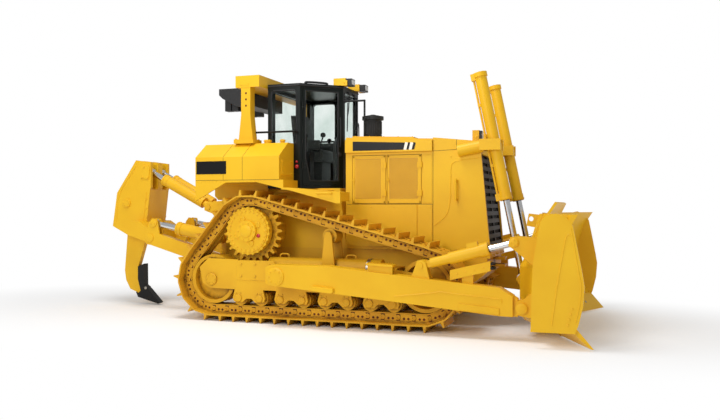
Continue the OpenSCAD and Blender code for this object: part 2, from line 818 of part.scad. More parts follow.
module on_door(side) {
  mirror([0, side > 0 ? 0 : 1, 0])
    translate([cab_corner_x, cab_y, 0]) rotate([0, 0, door_turn]) children();
}

module round_cut(x0, x1, z0, z1, r) {
  box(x0 + r, x1 - r, -2 * cab_y, 2 * cab_y, z0, z1);
  box(x0, x1, -2 * cab_y, 2 * cab_y, z0 + r, z1 - r);
  for (x = [x0 + r, x1 - r], z = [z0 + r, z1 - r]) pin_y(x, z, -2 * cab_y, 2 * cab_y, r);
}

module window_cuts(grow) {
  round_cut(cab_rear_x + cab_t + 5 - grow, cab_corner_x - frame_w - 15 + grow, sill_z - grow,
    window_top + grow, window_r + grow);
  box(cab_rear_x - 200, cab_rear_x + 200, -cab_y + 140 - grow, cab_y - 140 + grow, sill_z - grow,
    window_top + grow);
  box(cab_front_x - 100, cab_front_x + 200, -cab_nose_y + frame_w - grow, cab_nose_y - frame_w + grow,
    sill_z - 200 - grow, window_top + grow);
}

module door_cut(grow) {
  for (s = [-1, 1]) on_door(s)
    box(40 - grow, door_len - 40 + grow, -200, 100, door_z - grow, window_top + 40 + grow);
}

module cab_shell() {
  color(black) {
    difference() {
      shell(0, cab_t, floor_z, cab_z - cab_t);
      window_cuts(0);
      door_cut(door_gap);
    }
    translate([0, 0, cab_z - cab_t - 1]) linear_extrude(cab_t + 1) cab_plan(0);
    translate([0, 0, floor_z]) linear_extrude(40) cab_plan(1);
  }
}

module cab_glass() {
  color("lightblue") intersection() {
    shell(cab_t / 2 - glass_t / 2, glass_t, sill_z - 300, window_top + 100);
    window_cuts(-run);
  }
}

module door_panel() {
  difference() {
    box(40, door_len - 40, -cab_t, 0, door_z, window_top + 40);
    door_window(0, -2 * cab_t, cab_t);
  }
}

module door_window(grow, y0, y1) {
  x0 = 40 + frame_w - grow;
  x1 = door_len - 40 - frame_w + grow;
  low = door_z + frame_w + 20 - grow;
  plate([[x0, low + 330], [x0 + 75, low], [x1, low], [x1, window_top + 40 - frame_w + grow],
    [x0, window_top + 40 - frame_w + grow]], y0, y1);
}

module cab_door() {
  on_door(1) {
    door_panel();
    for (z = [door_z + 250, window_top - 250]) {
      translate([36, hinge_r + run, z]) cylinder(h = 90, r = hinge_r);
      box(40, 95, -1, hinge_r, z, z + 90);
    }
  }
}

module cab_door_left() {
  color(black) cab_door();
}

module cab_door_right() {
  color(black) mirror([0, 1, 0]) cab_door();
}

module door_pane() {
  on_door(1) door_window(-run, -cab_t / 2 - glass_t / 2, -cab_t / 2 + glass_t / 2);
}

module door_glass_left() {
  color("lightblue") door_pane();
}

module door_glass_right() {
  color("lightblue") mirror([0, 1, 0]) door_pane();
}

module seat() {
  z = floor_z + 40;
  color("darkslategray") {
    box(seat_x + 40, seat_x + seat_l - 40, -seat_y + 80, seat_y - 80, z, z + seat_base_h);
    box(seat_x, seat_x + seat_l, -seat_y, seat_y, z + seat_base_h, z + seat_h);
    plate([[seat_x, z + seat_h - 1], [seat_x + 120, z + seat_h - 1], [seat_x + 40, z + seat_back_h],
      [seat_x - 60, z + seat_back_h]], -seat_y + 30, seat_y - 30);
    both() box(seat_x + 40, seat_x + seat_l - 30, seat_y + 15, seat_y + 75, z + seat_h + 40,
      z + seat_h + 180);
    both() box(seat_x + 40, seat_x + 300, seat_y - 1, seat_y + 76, z + seat_h - 120, z + seat_h + 41);
  }
}

module console() {
  z = floor_z + 40;
  color("darkslategray") {
    plate([[console_x + 20, z], [console_x + 150, z], [console_x + 150, z + console_h - 80],
      [console_x + 70, z + console_h], [console_x, z + console_h - 80]], -console_y, console_y);
    both() box(seat_x + 120, seat_x + 400, lever_y - 80, lever_y + 80, z, z + lever_box_h);
    both() translate([seat_x + 300, lever_y, z + lever_box_h - 20]) cylinder(h = 220, r = 22);
  }
}

module air_precleaner() {
  at_x = hood_rear_x + 208;
  color(black) difference() {
    translate([at_x, 0, hood_z]) {
      cylinder(h = 45, r = precleaner_r + 12);
      translate([0, 0, 44]) cylinder(h = 270, r = precleaner_r);
      translate([0, 0, 313]) cylinder(h = 52, r = precleaner_r + 32);
      translate([0, 0, 364]) cylinder(h = 14, r = precleaner_r - 30);
    }
    raised_plate(run);
  }
}

module work_lamps() {
  color(black) both() {
    difference() {
      box(guard_top_x - 55, guard_top_x - 20, 250, 370, hood_front_z - 70, hood_front_z + 112);
      plate(concat([[guard_x, rail_z]], guard_outline(run)), -hood_y, hood_y);
    }
    box(cab_front_x + 60 + run, cab_front_x + 150, 225, 385, cab_z - 8, cab_z + 96);
    difference() {
      for (x = [deck_rear_x + 10, deck_rear_x + 135])
        box(x, x + 105, 330, 450, beam_z - 255, beam_z - 60);
      cooler_shape(run, 600);
    }
  }
}

module lamp_housings() {
  color(yellow) both() {
    difference() {
      box(guard_top_x - 150, guard_top_x - 55 - run, 240, 380, hood_front_z - 80, hood_front_z + 120);
      plate(concat([[guard_x, rail_z]], guard_outline(run)), -hood_y, hood_y);
    }
    box(cab_front_x - 130, cab_front_x + 60, 210, 400, cab_z + run, cab_z + 105);
  }
}

// Blade linkage
module lift_yokes() {
  w = lift_r + 60;
  color(yellow) both() translate([0, lift_y, 0]) difference() {
    union() {
      aim(guard_x + 364, 30, lift_z - 72, 90 - 10) cylinder(h = lift_x - guard_x - 364, r = 85);
      box(lift_x - 190, lift_x + 95, -w, w, lift_z - 75, lift_z + 75);
    }
    box(lift_x - lift_r - 70, lift_x + lift_r + 200, -lift_r - 14, lift_r + 14, lift_z - 400,
      lift_z + 400);
    translate([0, -lift_y, 0])
      plate(concat([[guard_x, rail_z]], guard_outline(run)), -hood_y - run, hood_y + run);
    pin_y(lift_x, lift_z, -w - 1, w + 1, 45 + run);
  }
}

module lift_barrels() {
  color(yellow) both() aim(lift_x, lift_y, lift_z, lift_turn) {
    difference() {
      union() {
        translate([0, 0, -lift_up]) cylinder(h = lift_up + lift_down, r = lift_r);
        translate([0, 0, lift_down - 90]) cylinder(h = 90, r = lift_r + 6);
        translate([0, 0, -lift_up]) cylinder(h = 60, r = lift_r + 14);
        translate([0, 0, -70]) cylinder(h = 140, r = lift_r + 8);
        rotate([90, 0, 0]) cylinder(h = 2 * (lift_r + 60), r = 45, center = true);
        for (z = [-lift_up, lift_down - 100]) translate([lift_r - 40, -45, z]) cube([90, 90, 95]);
        for (z = [-lift_up + 420, 250]) translate([lift_r - 20, -25, z]) cube([55, 50, 40]);
        translate([lift_r + 22, 0, -lift_up + 60]) cylinder(h = lift_up + lift_down - 120, r = lift_line_r);
      }
      translate([0, 0, -lift_up + 60]) cylinder(h = lift_up + lift_down, r = lift_r - 15);
      translate([0, 0, lift_down - 70]) cylinder(h = 100, r = lift_rod_r + run);
    }
    tube(lift_r - 14, lift_rod_r + run, lift_down - 70, lift_down);
  }
}

module lift_rods() {
  color(steel) both() aim(lift_x, lift_y, lift_z, lift_turn) {
    translate([0, 0, lift_len - 1690]) cylinder(h = 1690 - 60, r = lift_rod_r);
    translate([0, 0, lift_len - 1690]) cylinder(h = 90, r = lift_r - 15 - run);
    translate([0, 0, lift_len]) eye(78, 38, 96);
  }
}

module push_arms() {
  color(yellow) both() {
    difference() {
      union() {
        plate([[trunnion_x - 150, trunnion_z - 90], [trunnion_x - 150, trunnion_z + 130],
          [trunnion_x - 60, trunnion_z + 165], [tilt_x - 1263, trunnion_z + 163],
          [tilt_x + 117, tilt_z - 167], [arm_pin_x - 282, arm_pin_z + 242],
          [arm_pin_x - 60, arm_pin_z + 110], [arm_pin_x - 60, arm_pin_z - 110],
          [arm_pin_x - 282, arm_pin_z - 107], [tilt_x - 555, tilt_z - 452],
          [trunnion_x - 100, trunnion_z - 120]], arm_y, arm_y + arm_w);
        pin_y(arm_pin_x, arm_pin_z, arm_mid - arm_eye_w / 2, arm_mid + arm_eye_w / 2, arm_eye_r);
        for (s = [-1, 1]) translate([0, tilt_y + s * 62, 0])
          plate([[tilt_x - 130, tilt_z - 180], [tilt_x + 130, tilt_z - 190], [tilt_x + 70, tilt_z + 40],
            [tilt_x + 20, tilt_z + 75], [tilt_x - 40, tilt_z + 65]], -16, 16);
      }
      pin_y(trunnion_x, trunnion_z, arm_y - 1, arm_y + arm_w + 1, trunnion_r + run);
      for (y = [arm_y - 1, arm_mid + arm_eye_w / 2])
        box(arm_pin_x - arm_eye_r - 10, arm_pin_x + 200, y, y + (arm_w - arm_eye_w) / 2 + 1,
          arm_pin_z - 200, arm_pin_z + 200);
      pin_y(arm_pin_x, arm_pin_z, arm_y - 1, arm_y + arm_w + 1, arm_pin_r + run);
    }
    pin_y(tilt_x, tilt_z, tilt_y - 90, tilt_y + 90, 35);
    plate([[hose_x, 727], [hose_x + hose_l, hose_z - 80], [hose_x + hose_l, hose_z + 42], [hose_x, 853]],
      tilt_y - 75, tilt_y + 65);
    plate([[hose_x + 150, 640], [hose_x + 290, 640], [hose_x + 290, 850], [hose_x + 150, 810]],
      tilt_y - 45, tilt_y + 35);
    for (s = [-1, 1]) translate([0, arm_mid + s * 45, 0])
      plate([[hose_x - 1100, 780], [hose_x - 760, 745], [hose_x - 760, 880], [hose_x - 1100, 897]], -12, 12);
    plate([[hose_x - 1110, 890], [hose_x - 750, 872], [hose_x - 750, 902], [hose_x - 1110, 920]],
      arm_mid - 85, arm_mid + 85);
  }
}

module tilt_barrels() {
  color(yellow) both() aim(tilt_x, tilt_y, tilt_z, tilt_turn) {
    difference() {
      union() {
        translate([-45, -tilt_eye_w / 2, 40]) cube([90, tilt_eye_w, 100]);
        translate([0, 0, 130]) cylinder(h = 260, r = tilt_r - 14);
        translate([0, 0, 380]) cylinder(h = tilt_len - 380, r = tilt_r);
        translate([0, 0, tilt_len - 110]) cylinder(h = 110, r = tilt_r + 12);
        eye(72, 35 + run, tilt_eye_w);
        translate([-tilt_r - 50, -40, tilt_len - 260]) cube([70, 80, 140]);
      }
      translate([0, 0, 380]) cylinder(h = tilt_len, r = tilt_rod_r + run);
      rotate([90, 0, 0]) cylinder(h = 300, r = 35 + run, center = true);
    }
  }
}

module tilt_rods() {
  reach = norm(tilt_dir);
  color(steel) both() aim(tilt_x, tilt_y, tilt_z, tilt_turn) {
    translate([0, 0, 500]) cylinder(h = reach - 560, r = tilt_rod_r);
    translate([0, 0, reach]) eye(75, 36, 92);
  }
}

function mold_x(z) =
  let (mid = (mold_low_z + mold_top_z) / 2 - 30)
  blade_back_x + 130 + mold_r - sqrt(mold_r * mold_r - (z - mid) * (z - mid));

module blade_section() {
  steps = 12;
  rise = (mold_top_z - mold_low_z) / steps;
  polygon(concat(
    [[blade_back_x + 60, mold_low_z - 60], [mold_x(mold_low_z) - 20, mold_low_z - 40]],
    [for (i = [0:steps]) [mold_x(mold_low_z + i * rise), mold_low_z + i * rise]],
    [[mold_x(mold_top_z) - 70, mold_top_z], [blade_back_x + 60, 1000], [blade_back_x, 900],
      [blade_back_x, mold_low_z + 40]]));
}

// Back of the blade at a distance y from the middle
function back_at(y) = blade_back_x + max(0, y - blade_mid_w / 2) * tan(wing_angle);

module wing_place() {
  translate([blade_back_x, blade_mid_w / 2, 0]) rotate([0, 0, -wing_angle])
    translate([-blade_back_x, 0, 0]) children();
}

wing_len = (blade_w - blade_mid_w) / 2 / cos(wing_angle);

module blade_bar(mid_w) {
  translate([0, mid_w / 2, 0]) rotate([90, 0, 0]) linear_extrude(mid_w) children();
}

module wing_bar() {
  intersection() {
    wing_place() translate([0, wing_len + 300, 0]) rotate([90, 0, 0])
      linear_extrude(wing_len + 360) children();
    box(0, 6000, 0, blade_w / 2 - 1, -500, 3000);
  }
}

// A half turn of hose that leaves and enters a wall at x, in the XY plane
module hose_turn(x, y, z, bend) {
  translate([x, y, z]) rotate([0, 0, -90]) rotate_extrude(angle = 180) translate([bend, 0])
    circle(r = hose_r);
}

module tilt_hoses() {
  color(black) both() for (z = [hose_z + 8, hose_z - 45])
    hose_turn(hose_x + hose_l + run, tilt_y - 5, z, 44);
}

module ripper_hoses() {
  color(black) both() for (i = [0, 1])
    translate([hull_rear_x - run, rtilt_y + rtilt_r + 60 + i * 50, rtilt0_z - 260]) rotate([90, 0, 0])
      mirror([1, 0, 0]) hose_turn(0, 0, 0, 120 - i * 20);
}

// A round rail between two points, with a ball at its far end
module rail(from, to, r) {
  d = to - from;
  translate(from) rotate([0, acos(d.z / norm(d)), atan2(d.y, d.x)]) cylinder(h = norm(d), r = r);
  translate(to) sphere(r = r + 1);
}

module handrails() {
  x1 = cab_corner_x - 45;
  y1 = post_y - post_w / 2 + 15;
  x2 = cab_front_x + 330;
  y2 = cab_nose_y - 20;
  z2 = cab_z - 231;
  color(black) {
    both() {
      difference() {
        rail([post_x + post_d, y1, rail_top], [x1, y1, rail_top], grip_r);
        roll_post(2 * run);
      }
      translate([x1, cab_y + run, rail_top]) rotate([-90, 0, 0]) cylinder(h = y1 - cab_y, r = grip_r);
    }
    difference() {
      rail([x2, -y2, hood_z - 40], [x2, -y2, z2], grip_r);
      raised_plate(run);
    }
    translate([cab_front_x + run, -y2, z2]) rotate([0, 90, 0]) cylinder(h = x2 - cab_front_x, r = grip_r);
  }
}

module grab_handles() {
  color(yellow) both() {
    for (z = [guard_grip_z, guard_grip_z + 260]) translate([guard_x + 336, hood_y + run, z])
      rotate([-90, 0, 0]) cylinder(h = 60, r = grip_r);
    translate([guard_x + 336, hood_y + 60, guard_grip_z - 25]) cylinder(h = 310, r = grip_r);
    for (x = [deck_front_x - 330, deck_front_x - 130]) translate([x, fender_y + run, floor_z - 85])
      rotate([-90, 0, 0]) cylinder(h = 30, r = grip_r - 4);
    translate([deck_front_x - 345, fender_y + 30, floor_z - 85]) rotate([0, 90, 0])
      cylinder(h = 230, r = grip_r - 4);
  }
}

module moldboard() {
  wing_x = blade_back_x + (blade_w - blade_mid_w) / 2 * tan(wing_angle);
  y1 = blade_w / 2;
  color(yellow) {
    difference() {
      blade_bar(blade_mid_w) blade_section();
      both() {
        box(blade_back_x - 50, blade_back_x + 105, lift_y - 60, lift_y + 60, lift_eye_z - 160,
          lift_eye_z + 500);
        box(blade_back_x - 50, blade_back_x + 105, lift_y - lift_r - 32, lift_y + lift_r + 32,
          lift_eye_z + 85, lift_eye_z + 560);
      }
    }
    both() {
      difference() {
        wing_bar() blade_section();
        pin_y(arm_pin_x, arm_pin_z, arm_mid - arm_eye_w / 2 - 6, arm_mid + arm_eye_w / 2 + 6,
          arm_eye_r + 20);
      }
      plate([[wing_x - 170, 197], [wing_x - 160, 592], [wing_x - 145, 972], [wing_x - 95, 1289],
        [wing_x - 60, 1478], [wing_x, 1554], [wing_x + 120, 1582], [wing_x + 230, 1543],
        [wing_x + 305, 1438], [wing_x + 365, 1135], [wing_x + 412, 888], [wing_x + 436, 741],
        [wing_x + 420, 517], [wing_x + 367, 292], [wing_x + 330, mold_low_z - 70]], y1 - end_t, y1);
      for (y = [arm_mid - 80, arm_mid + 80])
        plate([[arm_pin_x - 90, arm_pin_z], [arm_pin_x - 60, arm_pin_z - 75],
          [arm_pin_x + 10, arm_pin_z - 100], [back_at(y) + 60, mold_low_z + 30],
          [back_at(y) + 60, arm_pin_z + 260], [arm_pin_x + 20, arm_pin_z + 110],
          [arm_pin_x - 60, arm_pin_z + 80]], y - 19, y + 19);
      pin_y(arm_pin_x, arm_pin_z, arm_mid - 125, arm_mid + 125, arm_pin_r);
      for (y = [tilt_y - 70, tilt_y + 70])
        plate([[tilt_eye_x - 75, tilt_eye_z - 40], [tilt_eye_x - 20, tilt_eye_z - 75],
          [back_at(y) + 80, tilt_eye_z - 330], [back_at(y) + 110, tilt_eye_z + 60],
          [tilt_eye_x + 30, tilt_eye_z + 80], [tilt_eye_x - 50, tilt_eye_z + 65]], y - 16, y + 16);
      for (s = [-1, 1]) translate([0, lift_y + s * 76, 0])
        plate([[lift_eye_x - 80, lift_eye_z], [lift_eye_x - 30, lift_eye_z - 85],
          [blade_back_x + 90, lift_eye_z - 160], [blade_back_x + 90, lift_eye_z + 110],
          [lift_eye_x - 20, lift_eye_z + 75]], -16, 16);
      difference() {
        plate([[blade_back_x + 30, mold_top_z - 160], [blade_back_x + 240, mold_top_z - 200],
          [blade_back_x + 240, mold_top_z - 20], [blade_back_x + 60, mold_top_z]], 830, 870);
        pin_y(blade_back_x + 90, mold_top_z - 70, 800, 900, 32);
      }
    }
    translate([mold_x(mold_top_z) - 45, 0, mold_top_z - 20]) rotate([0, spill_lean, 0])
      translate([0, 0, -30])
      rotate([90, 0, 90]) linear_extrude(35) polygon([[-spill_w / 2, 0], [spill_w / 2, 0],
        [spill_w / 2, 50], [spill_w / 2 - spill_h, spill_h + 60], [-spill_w / 2 + spill_h, spill_h + 60],
        [-spill_w / 2, 50]]);
  }
}

module edge_section() {
  x = mold_x(mold_low_z) - 20;
  z = mold_low_z - 40;
  polygon([[x + 1, z], [x + 21, z + 40], [x + 46, z + 38], [x + 233, z - 205], [x + 205, z - 205]]);
}

module cutting_edge() {
  edge_mid = blade_mid_w / 2 - (mold_x(mold_low_z) - blade_back_x) * tan(wing_angle / 2);
  color(steel) {
    blade_bar(2 * (edge_mid - 3)) edge_section();
    both() intersection() {
      wing_bar() edge_section();
      box(0, 6000, edge_mid + run, blade_w / 2 - end_t - run, -500, 3000);
    }
  }
}

// Ripper
module tilt_ear(y0, y1) {
  difference() {
    plate([[hull_rear_x, rtilt0_z - 190], [rtilt0_x - 70, rtilt0_z - 50], [rtilt0_x - 70, rtilt0_z + 60],
      [rtilt0_x + 30, rtilt0_z + 90], [hull_rear_x, rtilt0_z + 110]], y0, y1);
    pin_y(rtilt0_x, rtilt0_z, y0 - 1, y1 + 1, rpin_r - 8 + run);
  }
}

module ripper_mount() {
  color(yellow) {
    both() {
      for (p = [[arm0_x, arm0_z, rpin_r], [rlift0_x, rlift0_z, rpin_r - 5]]) {
        pin_y(p.x, p.y, tail_y + 1, rarm_y + rarm_w + 10, p[2]);
        pin_y(p.x, p.y, tail_y, rarm_y - 6, p[2] + 40);
      }
      tilt_ear(rtilt_y + 65, rtilt_y + 105);
    }
    tilt_ear(-rtilt_y + 65, rtilt_y - 65);
    box(hull_rear_x - 60, hull_rear_x, -330, 330, 700, 1000);
  }
}

module ripper_tilt_pins() {
  color(steel) pin_y(rtilt0_x, rtilt0_z, -rtilt_y - 120, rtilt_y + 120, rpin_r - 8);
}

module ripper_arms() {
  arm0 = [arm0_x, arm0_z];
  arm1 = [arm1_x, arm1_z];
  up = right_of(rarm_dir / norm(rarm_dir)) * rarm_h;
  color(yellow) both() {
    difference() {
      union() {
        plate([arm0 + up, arm1 + up, arm1 - up, arm0 - up], rarm_y, rarm_y + rarm_w);
        for (p = [arm0, arm1])
          pin_y(p.x, p.y, rarm_y + 3, rarm_y + rarm_w - 3, rarm_h + 8);
        for (y = [rarm_y + 1, rarm_y + rarm_w - 29])
          plate([[arm1_x - 60, arm1_z], [arm1_x - 70, arm1_z + 90], [rlift1_x - 80, rlift1_z + 20],
            [rlift1_x - 30, rlift1_z + 80], [rlift1_x + 60, rlift1_z + 70], [rlift1_x + 80, rlift1_z - 20],
            [rlift1_x + 110, rlift1_z - 180], [rlift1_x + 200, arm1_z - 40]], y, y + 28);
      }
      pin_y(arm0_x, arm0_z, rarm_y - 1, rarm_y + rarm_w + 1, rpin_r + run);
      pin_y(arm1_x, arm1_z, rarm_y - 1, rarm_y + rarm_w + 1, rpin_r + run);
    }
  }
}

module ripper_pins() {
  color(steel) both() pin_y(arm1_x, arm1_z, rarm_y - 130, rarm_y + rarm_w, rpin_r);
}

module at_carriage() {
  translate([arm1_x, 0, arm1_z]) children();
}

module ripper_carriage() {
  y = carriage_y;
  low_y = rarm_y - 8;
  slot = shank_t / 2 + run;
  color(yellow) at_carriage() difference() {
    union() {
      plate([[-973, 172], [-886, 731], [-506, 1276], [-216, 1236], [-216, 820], [-231, 777],
        [-326, 12], [-636, 7]], -y, y);
      plate([[-476, 17], [-476, 262], [-316, 262], [-60, 100], [60, 90], [100, 0], [50, -90],
        [-80, -100]], -low_y, low_y);
    }
    for (s = [-1, 1])
      box(-566, 0, s * rtilt_y - 75, s * rtilt_y + 75, 792, 1400);
    box(-896, -466, -slot, slot, -200, 1000);
    pin_y(0, 0, -low_y - 1, low_y + 1, rpin_r + run);
    box(-120, 200, -340, 340, -200, 200);
  }
}

module ripper_shank() {
  color(yellow) at_carriage() plate([[-846, 942], [-846, -7], [-898, -594], [-871, -758], [-786, -908],
    [-616, -968], [-571, -928], [-626, -738], [-626, -518], [-481, -70], [-471, 942]],
    -shank_t / 2, shank_t / 2);
}

module ripper_tip() {
  color(black) at_carriage() plate([[-616, -968], [-666, -953], [-626, -1038], [-226, -1138], [-196, -1118],
    [-406, -908], [-496, -828], [-501, -468], [-626, -518], [-626, -738], [-571, -928]],
    -shank_t / 2 - 12, shank_t / 2 + 12);
}

module ripper_tilt_barrels() {
  color(yellow) both() aim(rtilt0_x, rtilt_y, rtilt0_z, rtilt_turn) difference() {
    union() {
      eye(78, rpin_r - 8 + run, 108);
      translate([0, 0, 60]) cylinder(h = 110, r = 52);
      translate([0, 0, 150]) cylinder(h = rtilt_len - 150, r = rtilt_r - 4);
      translate([0, 0, rtilt_len - 100]) cylinder(h = 100, r = rtilt_r);
    }
    translate([0, 0, 200]) cylinder(h = rtilt_len, r = rtilt_rod_r + run);
    rotate([90, 0, 0]) cylinder(h = 300, r = rpin_r - 8 + run, center = true);
  }
}

module ripper_tilt_rods() {
  reach = norm(rtilt_dir);
  color(steel) both() aim(rtilt0_x, rtilt_y, rtilt0_z, rtilt_turn) {
    translate([0, 0, 450]) cylinder(h = reach - 510, r = rtilt_rod_r);
    translate([0, 0, reach]) eye(72, 36, 100);
  }
}

module ripper_lift_barrels() {
  color(yellow) both() aim(rlift0_x, rarm_mid, rlift0_z, rlift_turn) difference() {
    union() {
      eye(88, rpin_r - 5 + run, 100);
      translate([0, 0, 70]) cylinder(h = 110, r = 60);
      translate([0, 0, 150]) cylinder(h = rlift_len - 150, r = rlift_r - 8);
      translate([0, 0, rlift_len - 90]) cylinder(h = 90, r = rlift_r);
    }
    translate([0, 0, 200]) cylinder(h = rlift_len, r = rlift_rod_r + run);
    rotate([90, 0, 0]) cylinder(h = 300, r = rpin_r - 5 + run, center = true);
  }
}

module ripper_lift_rods() {
  reach = norm(rlift_dir);
  color(steel) both() aim(rlift0_x, rarm_mid, rlift0_z, rlift_turn) {
    translate([0, 0, 420]) cylinder(h = reach - 420 - 130, r = rlift_rod_r);
    translate([-40, -fork_w / 2 + eye_gap, reach - 140]) cube([80, fork_w - 2 * eye_gap, 90]);
    translate([0, 0, reach]) eye(70, 36, fork_w - 2 * eye_gap);
  }
}

main_frame();
steering_case();
engine_block();
hood();
engine_doors_right();
engine_doors_left();
rear_doors_right();
rear_doors_left();
radiator_guard();
radiator_grille();
fuel_tank();
side_tanks();
fenders();
roll_frame();
air_conditioner();
cab_shell();
cab_glass();
cab_door_right();
cab_door_left();
door_glass_right();
door_glass_left();
seat();
console();
air_precleaner();
work_lamps();
lift_yokes();
axles();
track_frames();
idlers();
track_rollers();
carrier_rollers();
sprockets();
final_drives();
track_right();
track_left();
push_arms();
moldboard();
cutting_edge();
tilt_barrels();
tilt_rods();
lift_barrels();
lift_rods();
ripper_mount();
ripper_arms();
ripper_pins();
ripper_carriage();
ripper_shank();
ripper_tip();
ripper_tilt_pins();
lamp_housings();
tilt_hoses();
ripper_hoses();
handrails();
grab_handles();
ripper_tilt_barrels();
ripper_tilt_rods();
ripper_lift_barrels();
ripper_lift_rods();
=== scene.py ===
# %% [markdown]
# # Track-type bulldozer: looks
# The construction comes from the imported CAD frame. This notebook gives each piece its finish and adds the
# small things that a fabricator bolts, welds or clips on: bolts, beads, louvres, seals, lenses, cushions.
# All sizes here are in millimetres, like the CAD source, and turn into metres in one place.

# %% Load the frame
import bpy
import json
import math
from mathutils import Matrix, Vector


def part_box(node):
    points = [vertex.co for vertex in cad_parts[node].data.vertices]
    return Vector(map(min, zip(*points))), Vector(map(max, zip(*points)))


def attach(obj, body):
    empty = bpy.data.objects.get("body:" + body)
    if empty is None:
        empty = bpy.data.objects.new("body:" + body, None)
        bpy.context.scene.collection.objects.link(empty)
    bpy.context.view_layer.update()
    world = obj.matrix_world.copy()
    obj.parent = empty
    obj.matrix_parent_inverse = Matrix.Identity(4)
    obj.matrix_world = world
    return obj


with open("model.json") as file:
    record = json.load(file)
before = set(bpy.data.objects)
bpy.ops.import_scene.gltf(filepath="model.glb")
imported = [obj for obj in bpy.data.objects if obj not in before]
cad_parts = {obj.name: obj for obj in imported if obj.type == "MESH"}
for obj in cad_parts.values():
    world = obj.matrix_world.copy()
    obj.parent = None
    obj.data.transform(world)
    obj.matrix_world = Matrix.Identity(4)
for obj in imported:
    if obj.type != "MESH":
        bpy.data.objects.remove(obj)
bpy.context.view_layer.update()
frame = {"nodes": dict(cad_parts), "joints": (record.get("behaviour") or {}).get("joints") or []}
MM = 0.001

# %% [markdown]
# ## Places from the frame
# A bolt sits on a face of the CAD part, and a cap sits on a pivot. The frame knows many of these places, so
# they are read from it and rounded to a tenth of a millimetre. What it can't tell is a number below.

# %% Corners, pivots and slides
ACROSS, UP, AHEAD = (0, 1, 0), (0, 0, 1), (1, 0, 0)
TURN = 2 * math.pi


def in_mm(place):
    """A place of the frame in millimetres."""
    return Vector([round(v / MM, 1) for v in place])


def corners(node):
    """The lowest and the highest corner of a CAD node."""
    return [in_mm(corner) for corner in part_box(node)]


pivots = {joint["name"]: in_mm(joint["pos_m"]) for joint in frame["joints"] if joint["type"] == "hinge"}
slides = {joint["name"]: Vector(joint["axis"]) for joint in frame["joints"] if joint["type"] == "slide"}
print(len(pivots), "pivots and", len(slides), "slides")

# %% [markdown]
# ## Colours and shader nodes
# Paint colours are given as screen colours. Light adds up linearly, so one function makes them linear.
# Another adds a node, sets it and links it, so that each material below reads as a short recipe.

# %% Colour and node helpers
def linear(code):
    """Screen colour such as F0B428 to linear RGBA."""
    channels = [int(code[i:i + 2], 16) / 255 for i in (0, 2, 4)]
    return [c / 12.92 if c <= 0.04045 else ((c + 0.055) / 1.055) ** 2.4 for c in channels] + [1.0]


def feed(tree, node, inputs):
    """Links an input to another node's socket, or sets it to a plain value."""
    for key, value in inputs.items():
        if isinstance(value, bpy.types.NodeSocket):
            tree.links.new(value, node.inputs[key])
        else:
            node.inputs[key].default_value = value


def add(tree, kind, inputs=None, **settings):
    """Adds a node with its settings and feeds its inputs."""
    node = tree.nodes.new(kind)
    for key, value in settings.items():
        setattr(node, key, value)
    feed(tree, node, inputs or {})
    return node


def finish_of(name):
    """A new material with its principled shader and its place in metres."""
    look = bpy.data.materials.new(name)
    look.use_nodes = True
    tree = look.node_tree
    return look, tree, tree.nodes["Principled BSDF"], add(tree, "ShaderNodeTexCoord").outputs["Object"]


def mottle(tree, place, scale, dark, pale, low=0.35, high=0.65):
    """Noise of a real size that blends two colours; returns the colour and the noise."""
    noise = add(tree, "ShaderNodeTexNoise", {"Vector": place, "Scale": scale, "Detail": 4.0})
    ramp = add(tree, "ShaderNodeValToRGB", {"Fac": noise.outputs["Fac"]})
    for stop, at, code in zip(ramp.color_ramp.elements, (low, high), (dark, pale)):
        stop.position, stop.color = at, linear(code)
    return ramp.outputs["Color"], noise.outputs["Fac"]


def spread(tree, noise, least, most):
    """A noise from 0 to 1, moved to a range of its own."""
    return add(tree, "ShaderNodeMapRange", {"Value": noise, "To Min": least, "To Max": most}).outputs[0]


def grain(tree, place, scale, depth):
    """Fine surface relief: the noise's height is depth metres."""
    noise = add(tree, "ShaderNodeTexNoise", {"Vector": place, "Scale": scale, "Detail": 2.0})
    return add(tree, "ShaderNodeBump", {"Height": noise.outputs["Fac"], "Distance": depth}).outputs["Normal"]


# %% [markdown]
# ## Machine paint
# Every plate of the real machine is shot-blasted and sprayed with one coat of yellow enamel. The coat has a
# faint orange-peel relief a few millimetres across and drifts in tone from panel to panel. Low pieces get a
# brown grime colour in their corners. The shader finds these corners with ambient occlusion rather than an
# image texture, and breaks the colour up with dust noise. It is partly dust and partly painted shade, where
# the corners lie in shadow.

# %% Paint
PAINT_SHINE, PANEL_DRIFT, DUST_SPOTS = 0.25, 1.6, 14.0
PEEL_SCALE, PEEL_DEPTH = 260.0, 0.0004


def dust_and_corner_shade(tree, place, colour, grime_and_shade, reach):
    """The colour with painted shade and dust in corners nearer than reach metres, found by ambient occlusion.
    """
    # Ambient occlusion marks the corners. What it darkens there is painted shade, mixed with the dust noise
    # below.
    corner = add(tree, "ShaderNodeAmbientOcclusion", {"Distance": reach}, samples=6)
    dust = add(tree, "ShaderNodeTexNoise", {"Vector": place, "Scale": DUST_SPOTS, "Detail": 5.0})
    open_air = add(tree, "ShaderNodeMath", {0: corner.outputs["AO"], 1: dust.outputs["Fac"]},
                   operation="ADD")
    clean_and_unshaded = add(tree, "ShaderNodeMapRange",
                {"Value": open_air.outputs[0], "From Min": 0.75, "From Max": 1.25})
    mixed = add(tree, "ShaderNodeMix", {0: clean_and_unshaded.outputs[0], 6: linear(grime_and_shade), 7: colour},
                data_type="RGBA")
    return mixed.outputs[2]


